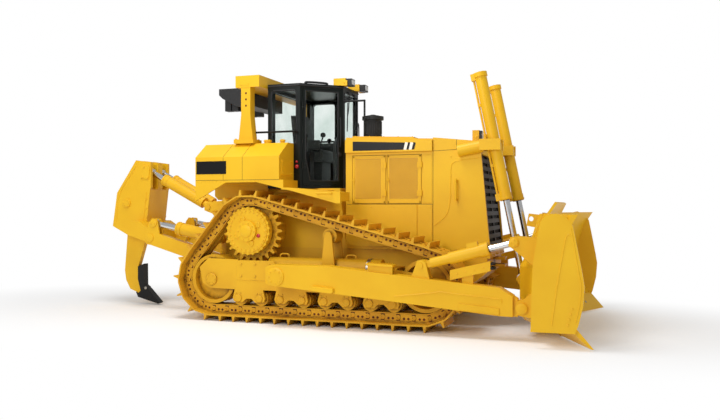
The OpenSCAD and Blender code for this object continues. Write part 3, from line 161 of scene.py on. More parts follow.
def machine_paint(name, fresh, aged, rough, grime_and_shade=None, reach=0.08):
    """Sprayed enamel. Where a grime colour is given, painted shade and dust darken its corners."""
    look, tree, shader, place = finish_of(name)
    colour, noise = mottle(tree, place, PANEL_DRIFT, aged, fresh)
    if grime_and_shade:
        colour = dust_and_corner_shade(tree, place, colour, grime_and_shade, reach)
    feed(tree, shader, {"Base Color": colour, "Specular IOR Level": PAINT_SHINE,
                        "Roughness": spread(tree, noise, rough - 0.06, rough + 0.08),
                        "Normal": grain(tree, place, PEEL_SCALE, PEEL_DEPTH)})
    return look


yellow_paint = machine_paint("yellow_paint", "E9B71E", "E3AE1A", 0.4)
# Track and undercarriage paints darken their corners with painted shade mixed with dust.
track_paint = machine_paint("track_paint", "DFAA24", "CE9620", 0.52, "6E4214", 0.09)
under_paint = machine_paint("under_paint", "E4B020", "D8A11C", 0.45, "7C4E16", 0.12)
# Darker yellow-brown for the door mesh. It is the mesh's own colour with painted shade of the engine bay
# behind it.
mesh_and_bay_shade = machine_paint("mesh_and_bay_shade", "CF9A3C", "BC8830", 0.55)
white_paint = machine_paint("white_paint", "F6F1E2", "EFE8D4", 0.4)
# Dark rust brown. It is rust, and also painted shade for holes and gaps that are drawn as raised dots and
# thin sheets.
rust_and_hole_shade = machine_paint("rust_and_hole_shade", "6B3216", "4A210F", 0.7)
cab_paint = machine_paint("cab_paint", "0A120D", "060C09", 0.3)
black_paint = machine_paint("black_paint", "1D1D1C", "121212", 0.45)
stripe_paint = machine_paint("stripe_paint", "080807", "050505", 0.35)
print("paints:", [look.name for look in bpy.data.materials])

# %% [markdown]
# ## Metal, glass, rubber and vinyl
# Piston rods are ground and hard chromed, so they mirror the studio with only a faint mottle. The glass is
# clear safety glass; its roughness has the faint unevenness of wiped dust. Hoses have a fine grain in their
# rubber, and the seat cover is embossed vinyl.

# %% Other finishes
def bare_metal(name, pale, dark, rough):
    """Worked steel: a mirror with small spots of wear."""
    look, tree, shader, place = finish_of(name)
    colour, noise = mottle(tree, place, 90.0, dark, pale, 0.3, 0.7)
    feed(tree, shader, {"Base Color": colour, "Metallic": 1.0,
                        "Roughness": spread(tree, noise, rough, rough + 0.14)})
    return look


def moulded(name, pale, dark, rough, scale, depth):
    """Plastic, rubber or vinyl with the grain of its mould."""
    look, tree, shader, place = finish_of(name)
    colour, noise = mottle(tree, place, scale / 6, dark, pale)
    feed(tree, shader, {"Base Color": colour, "Normal": grain(tree, place, scale, depth),
                        "Roughness": spread(tree, noise, rough - 0.05, rough + 0.1)})
    return look


def safety_glass(name, tint):
    """Thin clear glass: a low index of refraction keeps what lies behind it in its place."""
    look, tree, shader, place = finish_of(name)
    colour, noise = mottle(tree, place, 2.5, tint, "F4F8F6")
    feed(tree, shader, {"Base Color": colour, "Roughness": spread(tree, noise, 0.0, 0.05),
                        "Transmission Weight": 1.0, "IOR": 1.06})
    return look


rod_chrome = bare_metal("rod_chrome", "E4E5E6", "C9CBCD", 0.1)
pin_steel = bare_metal("pin_steel", "B9B4AA", "8D877C", 0.3)
black_plastic = moulded("black_plastic", "1B1B1C", "101011", 0.5, 300.0, 0.0003)
hose_rubber = moulded("hose_rubber", "17171A", "0C0C0E", 0.45, 420.0, 0.0003)
seat_vinyl = moulded("seat_vinyl", "3A3B3A", "282928", 0.55, 380.0, 0.0005)
lamp_lens = moulded("lamp_lens", "D8DADA", "B8BCBE", 0.15, 160.0, 0.0006)
red_lens = moulded("red_lens", "C2262A", "9E1A20", 0.2, 160.0, 0.0004)
clear_glass = safety_glass("clear_glass", "E3ECE8")
print(len(bpy.data.materials), "materials")

# %% [markdown]
# ## Finish of the CAD pieces
# Each CAD piece keeps its shape and takes a finish by its name. What isn't named is yellow.

# %% Dress the frame
finishes = {
    under_paint: ("track_frames", "track_rollers", "carrier_rollers", "idlers", "sprockets", "axles",
                  "main_frame", "ripper_pins", "ripper_tilt_pins"),
    track_paint: ("track_right", "track_left"),
    cab_paint: ("cab_shell", "cab_door_right", "cab_door_left"),
    clear_glass: ("cab_glass", "door_glass_right", "door_glass_left"),
    black_paint: ("radiator_grille", "engine_block", "ripper_tip", "handrails"),
    black_plastic: ("air_conditioner", "console", "air_precleaner", "work_lamps"),
    hose_rubber: ("tilt_hoses", "ripper_hoses"),
    rod_chrome: ("lift_rods", "tilt_rods", "ripper_lift_rods", "ripper_tilt_rods"),
    seat_vinyl: ("seat",)}
finish_by_node = {node: look for look, nodes in finishes.items() for node in nodes}
for node, cad in frame["nodes"].items():
    cad.data.materials.clear()
    cad.data.materials.append(finish_by_node.get(node, yellow_paint))
print(len(frame["nodes"]), "CAD pieces dressed")

# %% [markdown]
# ## Shapes for the small parts
# Small parts come from a few shop operations: turning on a lathe, cutting from plate, bending tube. The
# functions below do the same with points: `turned` spins a profile, `cut_plate` pushes an outline
# through a thickness with broken edges, `bent_tube` sweeps a circle along a smooth route. A shape is a pair
# of points and faces, and all of them are skins over rings of points.

# %% Rings, joins and mirror copies
def around(count, shift=0.0):
    """Angles of evenly spaced points on a circle; shift moves them on by a part of a step."""
    return [TURN * (k + shift) / count for k in range(count)]


def skin(rings, sides, capped=True):
    """Faces between rings of points that follow one another, with a cap at both ends."""
    faces = []
    for i in range(rings - 1):
        for k in range(sides):
            n = (k + 1) % sides
            faces.append((i * sides + k, i * sides + n, (i + 1) * sides + n, (i + 1) * sides + k))
    if capped:
        faces += [tuple(range(sides))[::-1], tuple((rings - 1) * sides + k for k in range(sides))]
    return faces


def joined(shapes):
    """Several shapes as one."""
    points, faces = [], []
    for shape_points, shape_faces in shapes:
        start = len(points)
        points += shape_points
        faces += [tuple(start + v for v in face) for face in shape_faces]
    return points, faces


def both_sides(shapes):
    """The same shapes on the left and on the right of the machine."""
    points, faces = joined(shapes)
    mirrored = [Vector((p[0], -p[1], p[2])) for p in points]
    return [(points, faces), (mirrored, [face[::-1] for face in faces])]


# %% Turned parts and bolts
def aim(along):
    """The turn that takes the upright axis to a direction."""
    return Vector(UP).rotation_difference(Vector(along)).to_matrix()


def turned(at, along, profile, sides=24):
    """Spins (radius, height) pairs around an axis."""
    turn = aim(along)
    points = [Vector(at) + turn @ Vector((radius * math.cos(a), radius * math.sin(a), height))
              for radius, height in profile for a in around(sides, 0.5)]
    return points, skin(len(profile), sides)


def hex_bolt(at, along, r=13.0):
    """A hexagon head on its round washer."""
    washer = turned(at, along, [(1.5 * r, -2), (1.5 * r, 0.2 * r), (1.4 * r, 0.25 * r)], 16)
    head = turned(at, along, [(r, 0.2 * r), (r, 0.9 * r), (0.8 * r, r)], 6)
    return joined([washer, head])


def bolt_circle(at, along, r, count, size):
    """Bolts in a circle around an axis."""
    turn = aim(along)
    spots = [Vector(at) + turn @ Vector((r * math.cos(a), r * math.sin(a), 0)) for a in around(count)]
    return [hex_bolt(spot, along, size) for spot in spots]


# %% Plates, tubes and beads
def cut_plate(outline, y0, y1, edge=3.0):
    """An XZ outline through y0 to y1, its edges broken by a small chamfer."""
    middle = sum((Vector((x, z)) for x, z in outline), Vector((0, 0))) / len(outline)
    inner = [Vector((x, z)) + (middle - Vector((x, z))).normalized() * edge for x, z in outline]
    rings = [(inner, y0), (outline, y0 + edge), (outline, y1 - edge), (inner, y1)]
    points = [Vector((p[0], y, p[1])) for ring, y in rings for p in ring]
    return points, skin(len(rings), len(outline))


def block(x0, x1, y0, y1, z0, z1, edge=3.0):
    """A box cut from plate."""
    return cut_plate([(x0, z0), (x1, z0), (x1, z1), (x0, z1)], y0, y1, edge)


def smooth_path(route, steps):
    """Points on a Catmull-Rom curve through the route, so many steps from one to the next."""
    p = [Vector(v) for v in route]
    p = [2 * p[0] - p[1]] + p + [2 * p[-1] - p[-2]]
    path = []
    for i in range(1, len(p) - 2):
        for t in (step / steps for step in range(steps)):
            path.append(0.5 * (2 * p[i] + (p[i + 1] - p[i - 1]) * t
                               + (2 * p[i - 1] - 5 * p[i] + 4 * p[i + 1] - p[i + 2]) * t * t
                               + (3 * p[i] - p[i - 1] - 3 * p[i + 1] + p[i + 2]) * t ** 3))
    return path + [p[-2]]


def bent_tube(route, r, sides=12, steps=8):
    """A round tube along a smooth route through the given points."""
    path = smooth_path(route, steps)
    heading = (path[1] - path[0]).normalized()
    across = heading.orthogonal().normalized()
    points = []
    for i, spot in enumerate(path):
        ahead = (path[min(i + 1, len(path) - 1)] - path[max(i - 1, 0)]).normalized()
        across = heading.rotation_difference(ahead) @ across
        heading = ahead
        up = heading.cross(across)
        points += [spot + r * (math.cos(a) * across + math.sin(a) * up) for a in around(sides)]
    return points, skin(len(path), sides)


def weld(route, r=4.0):
    """A thin bead along straight stretches."""
    return joined([bent_tube([a, b], r, 6, 1) for a, b in zip(route, route[1:])])


def on_side(route, y):
    """An XZ route drawn on an upright face at y."""
    return [(x, y, z) for x, z in route]


# %% Fitting a piece to its body
SHARP_EDGE = math.radians(35)


def fit(name, shapes, look, body):
    """Joins shapes into one piece in metres that moves with a body."""
    points, faces = joined(shapes)
    mesh = bpy.data.meshes.new(name)
    mesh.from_pydata([MM * Vector(p) for p in points], [], faces)
    mesh.materials.append(look)
    mesh.shade_smooth()
    mesh.set_sharp_from_angle(angle=SHARP_EDGE)
    piece = bpy.data.objects.new(name, mesh)
    bpy.context.scene.collection.objects.link(piece)
    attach(piece, body)
    print(name, len(points), "points")
    return piece


def fit_both(name, shapes, look=yellow_paint, body="tractor"):
    """Fits shapes and their mirror copies as one piece."""
    fit(name, both_sides(shapes), look, body)


def fit_pair(name, body, shapes, look=yellow_paint):
    """Like fit_both, where the left copy and the right copy ride bodies of their own."""
    for side, shape in zip("lr", both_sides(shapes)):
        fit(f"{name}_{side}", [shape], look, f"{body}_{side}")


# %% [markdown]
# ## Tracks
# A shoe is rolled with one grouser and bolted to its two links with four bolts. The links turn on pressed
# pins, whose ends show as discs. The track's route is worked out again from the same wheel positions, so that
# each bolt sits on its shoe: straight stretches and arcs in turn, with a pin at even steps.

# %% Route of the track
PIN_R, SHOES = 434.0, 44
REAR, FRONT, DRIVE = Vector((-1470, 600)), Vector((1737, 600)), Vector((-875, 1310))
TRACK_Y = sum(corner.y for corner in corners("track_left")) / 2


def heading_of(a):
    """The direction at an angle in the XZ plane."""
    return Vector((math.cos(a), math.sin(a)))


def right_of(way):
    """The direction to the right of another, which is out of the track."""
    return Vector((way.y, -way.x))


top, back = DRIVE - FRONT, REAR - DRIVE
top_a = math.atan2(top.y, top.x)
back_a = math.atan2(back.y, back.x) + TURN
stretches = [(REAR, 0, None, (FRONT - REAR).length), (FRONT, 0, PIN_R, PIN_R * top_a),
             (FRONT, top_a, None, top.length), (DRIVE, top_a, PIN_R, PIN_R * (back_a - top_a)),
             (DRIVE, back_a, None, back.length), (REAR, back_a, PIN_R, PIN_R * (TURN - back_a))]
loop = sum(stretch[-1] for stretch in stretches)
print("track loop", round(loop), "mm")


def track_pin(i):
    """Where a pin sits on the route."""
    s = (i % SHOES) * loop / SHOES
    for wheel, a, r, length in stretches:
        if s < length:
            on_wheel = wheel + PIN_R * right_of(heading_of(a + s / r if r else a))
            return on_wheel if r else on_wheel + s * heading_of(a)
        s -= length


def on_link(i, part, out):
    """A point at a part of the way from pin i to the next, moved out from the line of the pins."""
    chord = track_pin(i + 1) - track_pin(i)
    return track_pin(i) + part * chord + out * right_of(chord.normalized())


# %% Track bolts, pins and links
SHOE_OUT, SHOE_BOLT_Y, SHOE_BOLT_R, SHOE_BOLT_PARTS = 88.0, 92.5, 17, (0.22, 0.52)
LINK_Y, LINK_T, GAP_T, LINK_LOW, LINK_HIGH = 124.0, 6, 2, -46.0, 44.0
LINK_RIM = [(0.14, LINK_LOW), (0.86, LINK_LOW), (0.95, 0), (0.88, LINK_HIGH), (0.1, LINK_HIGH), (0.17, 0)]
LINK_GAP = [(-0.13, LINK_LOW), (0.13, LINK_LOW), (0.16, LINK_HIGH), (-0.1, LINK_HIGH)]
PIN_END = [(34, 0), (34, 7), (29, 10), (18, 10), (16, 6)]
NUT, NUT_IN, NUT_OUT, NUT_PARTS = [(17, 0), (17, 3), (11, 4)], 5, 14, (0.38, 0.66)
chain = {"shoe_bolts": [], "link_pins": [], "link_nuts": [], "link_sides": [], "link_gaps": []}
for i in range(SHOES):
    pin = track_pin(i)
    out = right_of((track_pin(i + 1) - pin).normalized())
    for y in (-SHOE_BOLT_Y, SHOE_BOLT_Y):
        for spot in [on_link(i, part, SHOE_OUT) for part in SHOE_BOLT_PARTS]:
            bolt = hex_bolt((spot.x, TRACK_Y + y, spot.y), (out.x, 0, out.y), SHOE_BOLT_R)
            chain["shoe_bolts"].append(bolt)
    rim = [on_link(i, part, depth) for part, depth in LINK_RIM]
    gap = [on_link(i, part, depth) for part, depth in LINK_GAP]
    for side in (-1, 1):
        face = TRACK_Y + side * LINK_Y
        chain["link_sides"].append(cut_plate(rim, *sorted((face, face + side * LINK_T)), 2))
        chain["link_gaps"].append(cut_plate(gap, *sorted((face, face + side * GAP_T)), 0.5))
        chain["link_pins"].append(turned((pin.x, face, pin.y), (0, side, 0), PIN_END, 18))
        for spot in [on_link(i, part, NUT_OUT) for part in NUT_PARTS]:
            nut = turned((spot.x, face + side * NUT_IN, spot.y), (0, side, 0), NUT, 8)
            chain["link_nuts"].append(nut)
for name, shapes in chain.items():
    # Nuts and link gaps take the dark rust brown. It is rust, and also painted shade in the nut windows and
    # in the gaps between links.
    look = rust_and_hole_shade if name in ("link_nuts", "link_gaps") else track_paint
    fit_both(name, shapes, look)

# %% [markdown]
# ## Final drives, idlers and rollers
# The final drive's round cover is held by a ring of bolts in scalloped lugs, with four inspection bosses and
# a red oil plug. Idlers and rollers run on dead shafts, which are held by bolted caps.

# %% Drive covers
COVER_Y, HUB_Y, LUG_Y = TRACK_Y + 209, TRACK_Y + 253, TRACK_Y + 150
COVER_LUGS, LUG_R, COVER_BOLT_R, HUB_BOLT_R, BOSS_R = 26, 326, 284, 124, 186
LUG = [(24, 0), (24, 48), (20, 52)]
BOSS = [(46, 0), (46, 14), (40, 18), (26, 18), (24, 12)]
HUB_CAP = [(88, 0), (88, 12), (70, 20), (20, 22)]


def beside(wheel, y, r=0.0, a=0.0):
    """A point beside a wheel or pin at y, r from its axis at the angle a."""
    return wheel.x + r * math.cos(a), y, wheel.y + r * math.sin(a)


cover = bolt_circle(beside(DRIVE, COVER_Y + 1), ACROSS, COVER_BOLT_R, COVER_LUGS, 13)
cover += bolt_circle(beside(DRIVE, HUB_Y + 1), ACROSS, HUB_BOLT_R, 10, 10)
cover += [turned(beside(DRIVE, LUG_Y, LUG_R, a), ACROSS, LUG, 14) for a in around(COVER_LUGS, 0.5)]
cover += [turned(beside(DRIVE, COVER_Y, BOSS_R, math.radians(30 + 86 * k)), ACROSS, BOSS, 22)
          for k in range(4)]
cover.append(turned(beside(DRIVE, HUB_Y), ACROSS, HUB_CAP, 32))
fit_both("drive_cover_fittings", cover)
plug = turned((DRIVE.x + 178, COVER_Y, DRIVE.y - 66), ACROSS, [(30, 0), (30, 14), (20, 20)], 6)
fit_both("drive_oil_plugs", [plug], red_lens)

# %% Shaft caps, frame plates and collars
ROLLERS, ROLLER_IN, ROLLER_Z, CAP_Y = 8, 440.0, 340.5, TRACK_Y + 189
IDLER_CAP = [(88, 0), (88, 18), (80, 26), (50, 28)]
ROLLER_CAP = [(54, 0), (54, 12), (46, 20), (18, 22)]
roller_span = FRONT.x - REAR.x - 2 * ROLLER_IN
caps = []
for wheel in (REAR, FRONT):
    caps.append(turned(beside(wheel, CAP_Y), ACROSS, IDLER_CAP, 28))
    caps += bolt_circle(beside(wheel, CAP_Y + 25), ACROSS, 66, 6, 9)
for k in range(ROLLERS):
    x = REAR.x + ROLLER_IN + k * roller_span / (ROLLERS - 1)
    caps.append(turned((x, CAP_Y, ROLLER_Z), ACROSS, ROLLER_CAP, 24))
    caps += [hex_bolt((x + d, CAP_Y, ROLLER_Z + 70), ACROSS, 10) for d in (-34, 34)]
fit_both("shaft_caps", caps, under_paint)

FRAME_OUT, LOOP_Z, LOOP_H = TRACK_Y + 190, 926, 49
PLATE_RIM = [(-1060, 600), (-1060, 872), (-1010, 888), (-470, 888), (-440, 850), (-440, 600)]
LIFT_LOOP = [(-70, LOOP_Z), (-55, LOOP_Z + LOOP_H), (55, LOOP_Z + LOOP_H), (70, LOOP_Z)]
plates = [cut_plate(PLATE_RIM, FRAME_OUT - 14, FRAME_OUT + 5, 4)]
plates += [hex_bolt((x, FRAME_OUT + 4, z), ACROSS, 15) for x in (-985, -760, -535) for z in (660, 835)]
plates += [bent_tube([(x + d, TRACK_Y, z) for d, z in LIFT_LOOP], 13) for x in (-380, 640)]
fit_both("frame_side_plates", plates, under_paint)

RECOIL_X, RECOIL_Z, TOOTH_BOLT_R = 890, 804.0, 376.0
COLLAR = [(131, 0), (137, 4), (137, 56), (131, 60)]
collar = turned((RECOIL_X, TRACK_Y, RECOIL_Z), AHEAD, COLLAR, 40)
fit_both("recoil_collars", [collar], pin_steel)
ring = bolt_circle(beside(DRIVE, TRACK_Y + 45), ACROSS, TOOTH_BOLT_R, 25, 10)
fit_both("sprocket_bolts", ring, track_paint)

# %% [markdown]
# ## Hood and engine doors
# The hood's side band has a black stripe with two slashes, masked and sprayed over the yellow. The engine
# breathes through its doors: the rear one has pressed upright slats, the front one a fine level grille. They
# hang on knuckle hinges and close with a turning handle. Slats ride on the doors, so they open with them.

# %% Stripe on the hood
hood_low, hood_high = corners("hood")
guard_low, guard_high = corners("radiator_guard")
door_low, door_high = corners("rear_doors_left")
HOOD_REAR, GUARD_X, HOOD_Y, BAND_FACE = hood_low.x, guard_low.x, guard_high.y, hood_high.y
TOP_PLATE_H, HOOD_DROP, SLASH = 35.0, 50.0, 24.0
HOOD_Z = hood_high.z - TOP_PLATE_H
DOOR_GAP, DOOR_W = 6.0, 514.0
DOOR_LOW, DOOR_TOP = door_low.z - DOOR_GAP, door_high.z + DOOR_GAP
REAR_DOOR, FRONT_DOOR = door_low.x - DOOR_GAP, corners("engine_doors_left")[0].x - DOOR_GAP


def hood_top(x):
    """The height of the hood's edge, which falls towards the front."""
    return HOOD_Z - HOOD_DROP * (x - HOOD_REAR) / (GUARD_X - HOOD_REAR)


def stripe(x0, x1, first=SLASH):
    """A stripe on the hood's band; the top of its front end leans forward, and first leans its rear end."""
    z = DOOR_TOP + 64
    rim = [(x0, z), (x1, z), (x1 + SLASH, hood_top(x1) - 66), (x0 + first, hood_top(x0) - 60)]
    return cut_plate(rim, BAND_FACE - 1, BAND_FACE + 2, 0.8)


dark = [stripe(520, 1283, 0.0), stripe(1326, 1360), stripe(1404, 1440)]
fit_both("hood_stripe", dark, stripe_paint)
pale = [stripe(1284, 1325), stripe(1361, 1403)]
fit_both("stripe_gaps", pale, white_paint)

# %% Slats and door furniture
RIM_IN, RIM_W, RIM_T, HANDLE_X, HANDLE_Z = 12, 22, 5, 24, 330
SLATS, BARS, SLAT_STEP, SLAT_W, BAR_H = 27, 40, 14, 7, 6
SLAT_X, BAR_Z, BAR_X0, BAR_X1 = 52, 84, 46, 446


def door_border(x):
    """The pressed rim of an engine door, with its handle and hinge bolts."""
    x0, x1, z0, z1 = x + RIM_IN, x + DOOR_W - RIM_IN, DOOR_LOW + RIM_IN, DOOR_TOP - RIM_IN
    rim = [block(a0, a1, HOOD_Y - 1, HOOD_Y + RIM_T, b0, b1)
           for a0, a1, b0, b1 in ((x0, x1, z0, z0 + RIM_W), (x0, x1, z1 - RIM_W, z1),
                                  (x0, x0 + RIM_W, z0, z1), (x1 - RIM_W, x1, z0, z1))]
    handle_x, handle_z = x + HANDLE_X, z0 + HANDLE_Z
    rim.append(turned((handle_x, HOOD_Y + 4, handle_z), ACROSS, [(20, 0), (20, 6), (14, 9)], 20))
    rim.append(block(handle_x - 6, handle_x + 6, HOOD_Y + 12, HOOD_Y + 20, handle_z - 40, handle_z + 40, 4))
    return rim + [hex_bolt((x1 - 30, HOOD_Y + 11, z + d), ACROSS, 6)
                  for z in (DOOR_LOW + 110, DOOR_TOP - 190) for d in (18, 62)]


slats = [block(x, x + SLAT_W, HOOD_Y, HOOD_Y + 4.5, DOOR_LOW + 80, DOOR_LOW + 640, 2)
         for x in (REAR_DOOR + SLAT_X + SLAT_STEP * k for k in range(SLATS))]
bars = [block(FRONT_DOOR + BAR_X0, FRONT_DOOR + BAR_X1, HOOD_Y, HOOD_Y + 4, z, z + BAR_H, 2)
        for z in (DOOR_LOW + BAR_Z + SLAT_STEP * k for k in range(BARS))]
fit_pair("rear_door_rim", "rear_door", door_border(REAR_DOOR) + slats)
fit_pair("front_door_rim", "engine_door", door_border(FRONT_DOOR))
fit_pair("front_door_grille", "engine_door", bars)
# Each door's mesh is one flat sheet in that darker tone. This paints the shade of the bay seen through the
# mesh, between the slats and bars.
for name, door, x0, x1 in (("rear_door_mesh", "rear_door", REAR_DOOR + 46, REAR_DOOR + 430),
                           ("front_door_mesh", "engine_door", FRONT_DOOR + 40, FRONT_DOOR + 452)):
    mesh = block(x0, x1, HOOD_Y - 1, HOOD_Y + 1.2, DOOR_LOW + 76, DOOR_LOW + 648, 1)
    fit_pair(name, door, [mesh], mesh_and_bay_shade)

# %% Fixed side panels of the hood
LOW_PANEL_Z, PANEL_T = 1090.0, 9
PLATE_REAR, PLATE_LEN = 430, 940
panels = [block(1558, 1688, HOOD_Y - 1, HOOD_Y + RIM_T, DOOR_LOW + 10, DOOR_TOP - RIM_IN, 4)]
panels += [block(x0, x1, HOOD_Y - 1, HOOD_Y + PANEL_T, LOW_PANEL_Z, DOOR_LOW - 12, 6)
           for x0, x1 in ((416, 1474), (1486, 1692))]
panels += [hex_bolt((x, HOOD_Y + PANEL_T - 1, z), ACROSS, 7) for x in (450, 790, 1130, 1440, 1515, 1665)
           for z in (LOW_PANEL_Z + 40, DOOR_LOW - 45)]
for x in (470, 690, 910, 1130, 1340):
    plate_top = HOOD_Z + TOP_PLATE_H - (x - PLATE_REAR) * TOP_PLATE_H / PLATE_LEN
    panels += [hex_bolt((x, y, plate_top), UP, 8) for y in (60, 400)]
fit_both("hood_panels", panels)

# %% [markdown]
# ## Radiator guard and lamps
# The guard is welded from thick plate. A bead shows where its bent side sheet meets the frame, and panel
# joints show as dark lines. Lamps are bought-in units: a black case with a ribbed lens.

# %% Core behind the grille
grille_low, grille_high = corners("radiator_grille")
GRILLE_BAR, CORE_FINS, FIN_STEP, FIN_T = 40, 72, 16, 6
GRILLE_Y = grille_high.y - 1
core_foot = Vector((grille_high.x - GRILLE_BAR, grille_low.z))
core_head = Vector((grille_low.x, grille_high.z))


def core_strip(y0, y1, deep):
    """An upright strip in front of the guard's pocket, as far forward as deep says."""
    ends = [core_foot, core_foot + Vector((deep, 0)), core_head + Vector((deep, 0)), core_head]
    return cut_plate([tuple(p) for p in ends], y0, y1, 1)


core = [core_strip(-GRILLE_Y, GRILLE_Y, 8)]
core += [core_strip(y, y + FIN_T, 20) for y in (-GRILLE_Y + FIN_STEP * k for k in range(CORE_FINS))]
fit("radiator_core", core, black_paint, "tractor")

# %% Guard beads and joints
BEND_X, SEAM_X, DOOR_SEAM_Z = 1957, 2036, 1694
BEAD = [(2370, 2330), (2080, 2300), (1990, 2270), (1958, 2200), (1952, 1930), (1940, 1690), (1880, 1530),
        (1715, 1390)]
SEAMS = [[(GUARD_X + 2, 1060), (GUARD_X + 2, 2600)], [(GUARD_X + 2, 2440), (SEAM_X, 2452), (SEAM_X, 2592)],
         [(HOOD_REAR + 20, DOOR_SEAM_Z), (GUARD_X, DOOR_SEAM_Z)]]
bead = bent_tube(on_side(BEAD, HOOD_Y + 1), 5)
fit_both("guard_beads", [bead])
guard_bolts = [hex_bolt((BEND_X, HOOD_Y, z), ACROSS, 9) for z in (1816, 2092, 2356)]
guard_bolts += [hex_bolt((guard_high.x + 5, y, z), AHEAD, 11) for y in (40, 300, 560) for z in (985, 1065)]
fit_both("guard_bolts", guard_bolts)
seams = [weld(on_side(route, HOOD_Y + 0.4), 2.4) for route in SEAMS]
fit_both("panel_joints", seams, black_paint)

# %% Lenses and lamp brackets
lamps_low, lamps_high = corners("work_lamps")
HOOD_LAMP_X, ROOF_LAMP_X, REAR_LAMP_X = lamps_high.x, 400.0, lamps_low.x
LENS_RIBS, RIB_PART, RIB_T, LENS_T = 6, 0.86, 7, 3


def lens(x, y0, y1, z0, z1, way=1):
    """A ribbed lens on a face that looks forward (way 1) or back (way -1)."""
    step = (y1 - y0) / LENS_RIBS
    rows = [block(*sorted((x, x + RIB_T * way)), y0 + k * step, y0 + (k + RIB_PART) * step, z0, z1, 2)
            for k in range(LENS_RIBS)]
    return joined(rows + [block(*sorted((x, x + LENS_T * way)), y0, y1, z0, z1, 1)])


lenses = [lens(HOOD_LAMP_X - 1, 262, 358, 2612, 2715), lens(ROOF_LAMP_X - 1, 240, 370, 3480, 3552),
          lens(REAR_LAMP_X + 1, 345, 435, 3172, 3262, -1)]
fit_both("lamp_lenses", lenses, lamp_lens)
brackets = [block(ROOF_LAMP_X - 150, ROOF_LAMP_X - 60, 395, 408, 3460, 3540, 4),
            block(HOOD_LAMP_X - 110, HOOD_LAMP_X - 50, 378, 388, 2560, 2660, 4),
            hex_bolt((ROOF_LAMP_X - 105, 407, 3510), ACROSS, 10),
            hex_bolt((HOOD_LAMP_X - 80, 387, 2630), ACROSS, 9)]
fit_both("lamp_brackets", brackets)

# %% [markdown]
# ## Tanks and fenders
# The side tanks are folded from sheet and welded along their ends. They have a blank black plate at the rear,
# a bolted cover on the front face and screw caps on top. Fenders have a row of rivets and a raised tread, so
# that a boot doesn't slip.

# %% Tank plate, covers, caps and rivets
tank_low, tank_high = corners("side_tanks")
TANK_REAR, TANK_FRONT, TANK_Y = tank_low.x, tank_high.x, tank_high.y
DECK_Z, TANK_Z, TANK_SIDE, TANK_TOP_Y = tank_low.z, tank_high.z, 335.0, 1000.0
HATCH_Y0, HATCH_Y1, HATCH_Z0, HATCH_Z1, HATCH_IN = 880, 1220, DECK_Z + 70, DECK_Z + 290, 25
FILLER_Y, RIVETS, RIVET_STEP, RIVET = 905, 18, 62, [(8, 0), (7, 3), (3, 5)]
plate = block(TANK_REAR + 16, TANK_REAR + 510, TANK_Y - 1, TANK_Y + 3, DECK_Z + 90, DECK_Z + 278, 2)
fit_both("tank_plates", [plate], stripe_paint)
seam_y, seam_z = TANK_Y + 0.4, DECK_Z + 2
SEAM = [(seam_y, DECK_Z + 6), (seam_y, DECK_Z + TANK_SIDE), (TANK_TOP_Y, TANK_Z + 0.4)]
tank_joints = [weld([(x, y, z) for y, z in SEAM], 2.2) for x in (-1240, -930)]
tank_joints.append(weld([(TANK_REAR + 10, seam_y, seam_z), (TANK_FRONT, seam_y, seam_z)], 2.4))
fit_both("tank_joints", tank_joints, black_paint)
covers = [block(TANK_FRONT - 1, TANK_FRONT + 9, HATCH_Y0, HATCH_Y1, HATCH_Z0, HATCH_Z1, 8)]
covers += [hex_bolt((TANK_FRONT + 8, y, z), AHEAD, 9) for y in (HATCH_Y0 + HATCH_IN, HATCH_Y1 - HATCH_IN)
           for z in (HATCH_Z0 + HATCH_IN, HATCH_Z1 - HATCH_IN)]
for x, r in ((-720, 52), (-480, 34)):
    filler = [(r, 0), (r, 26), (r + 8, 28), (r + 8, 48), (r - 6, 56), (20, 58)]
    covers.append(turned((x, FILLER_Y, TANK_Z), UP, filler, 24))
covers += [turned((TANK_REAR + 40 + RIVET_STEP * k, TANK_Y, DECK_Z - 16), ACROSS, RIVET, 10)
           for k in range(RIVETS)]
fit_both("tank_covers", covers)

# %% Tread of the fenders
TREAD_ROWS, TREAD_X, TREAD_DX, TREAD_Y, TREAD_DY, TREAD_ACROSS = 18, -250, 44, 960, 40, 8
TREAD = [(15, 0), (13, 4), (6, 5)]
FENDER_X, FENDER_Z, FENDER_FALL, FENDER_LEN = -286, 1930, 70, 856
treads = []
for k in range(TREAD_ROWS):
    x = TREAD_X + TREAD_DX * k
    deck = FENDER_Z - (x - FENDER_X) * FENDER_FALL / FENDER_LEN
    first_y = TREAD_Y + TREAD_DY / 2 * (k % 2)
    treads += [turned((x, first_y + TREAD_DY * j, deck - 1), UP, TREAD, 4) for j in range(TREAD_ACROSS)]
fit_both("fender_tread", treads)

# %% [markdown]
# ## Cab and roll frame
# The cab's panes sit in black rubber seals. The doors have a grab bar and a pull handle, and a rail follows
# the roof's edge. The roll frame's posts are bolted to their sockets. A red lamp sits behind the door.

# %% Window seals
cab_low, cab_high = corners("cab_shell")
CAB_REAR, CAB_FRONT, CAB_Y, CAB_Z = cab_low.x, cab_high.x, cab_high.y, cab_high.z
CORNER_X, NOSE_Y, SILL_Z, WINDOW_TOP = -250.0, 330.0, 2580.0, CAB_Z - 100


def round_loop(a0, a1, z0, z1, r, place):
    """A closed rounded rectangle: place turns its two coordinates into a point."""
    route = []
    middles = ((a1 - r, z1 - r, 0), (a0 + r, z1 - r, 90), (a0 + r, z0 + r, 180), (a1 - r, z0 + r, 270))
    for a, z, start in middles:
        for turn in (math.radians(start + 30 * k) for k in range(4)):
            route.append(place(a + r * math.cos(turn), z + r * math.sin(turn)))
    return route + route[:1]


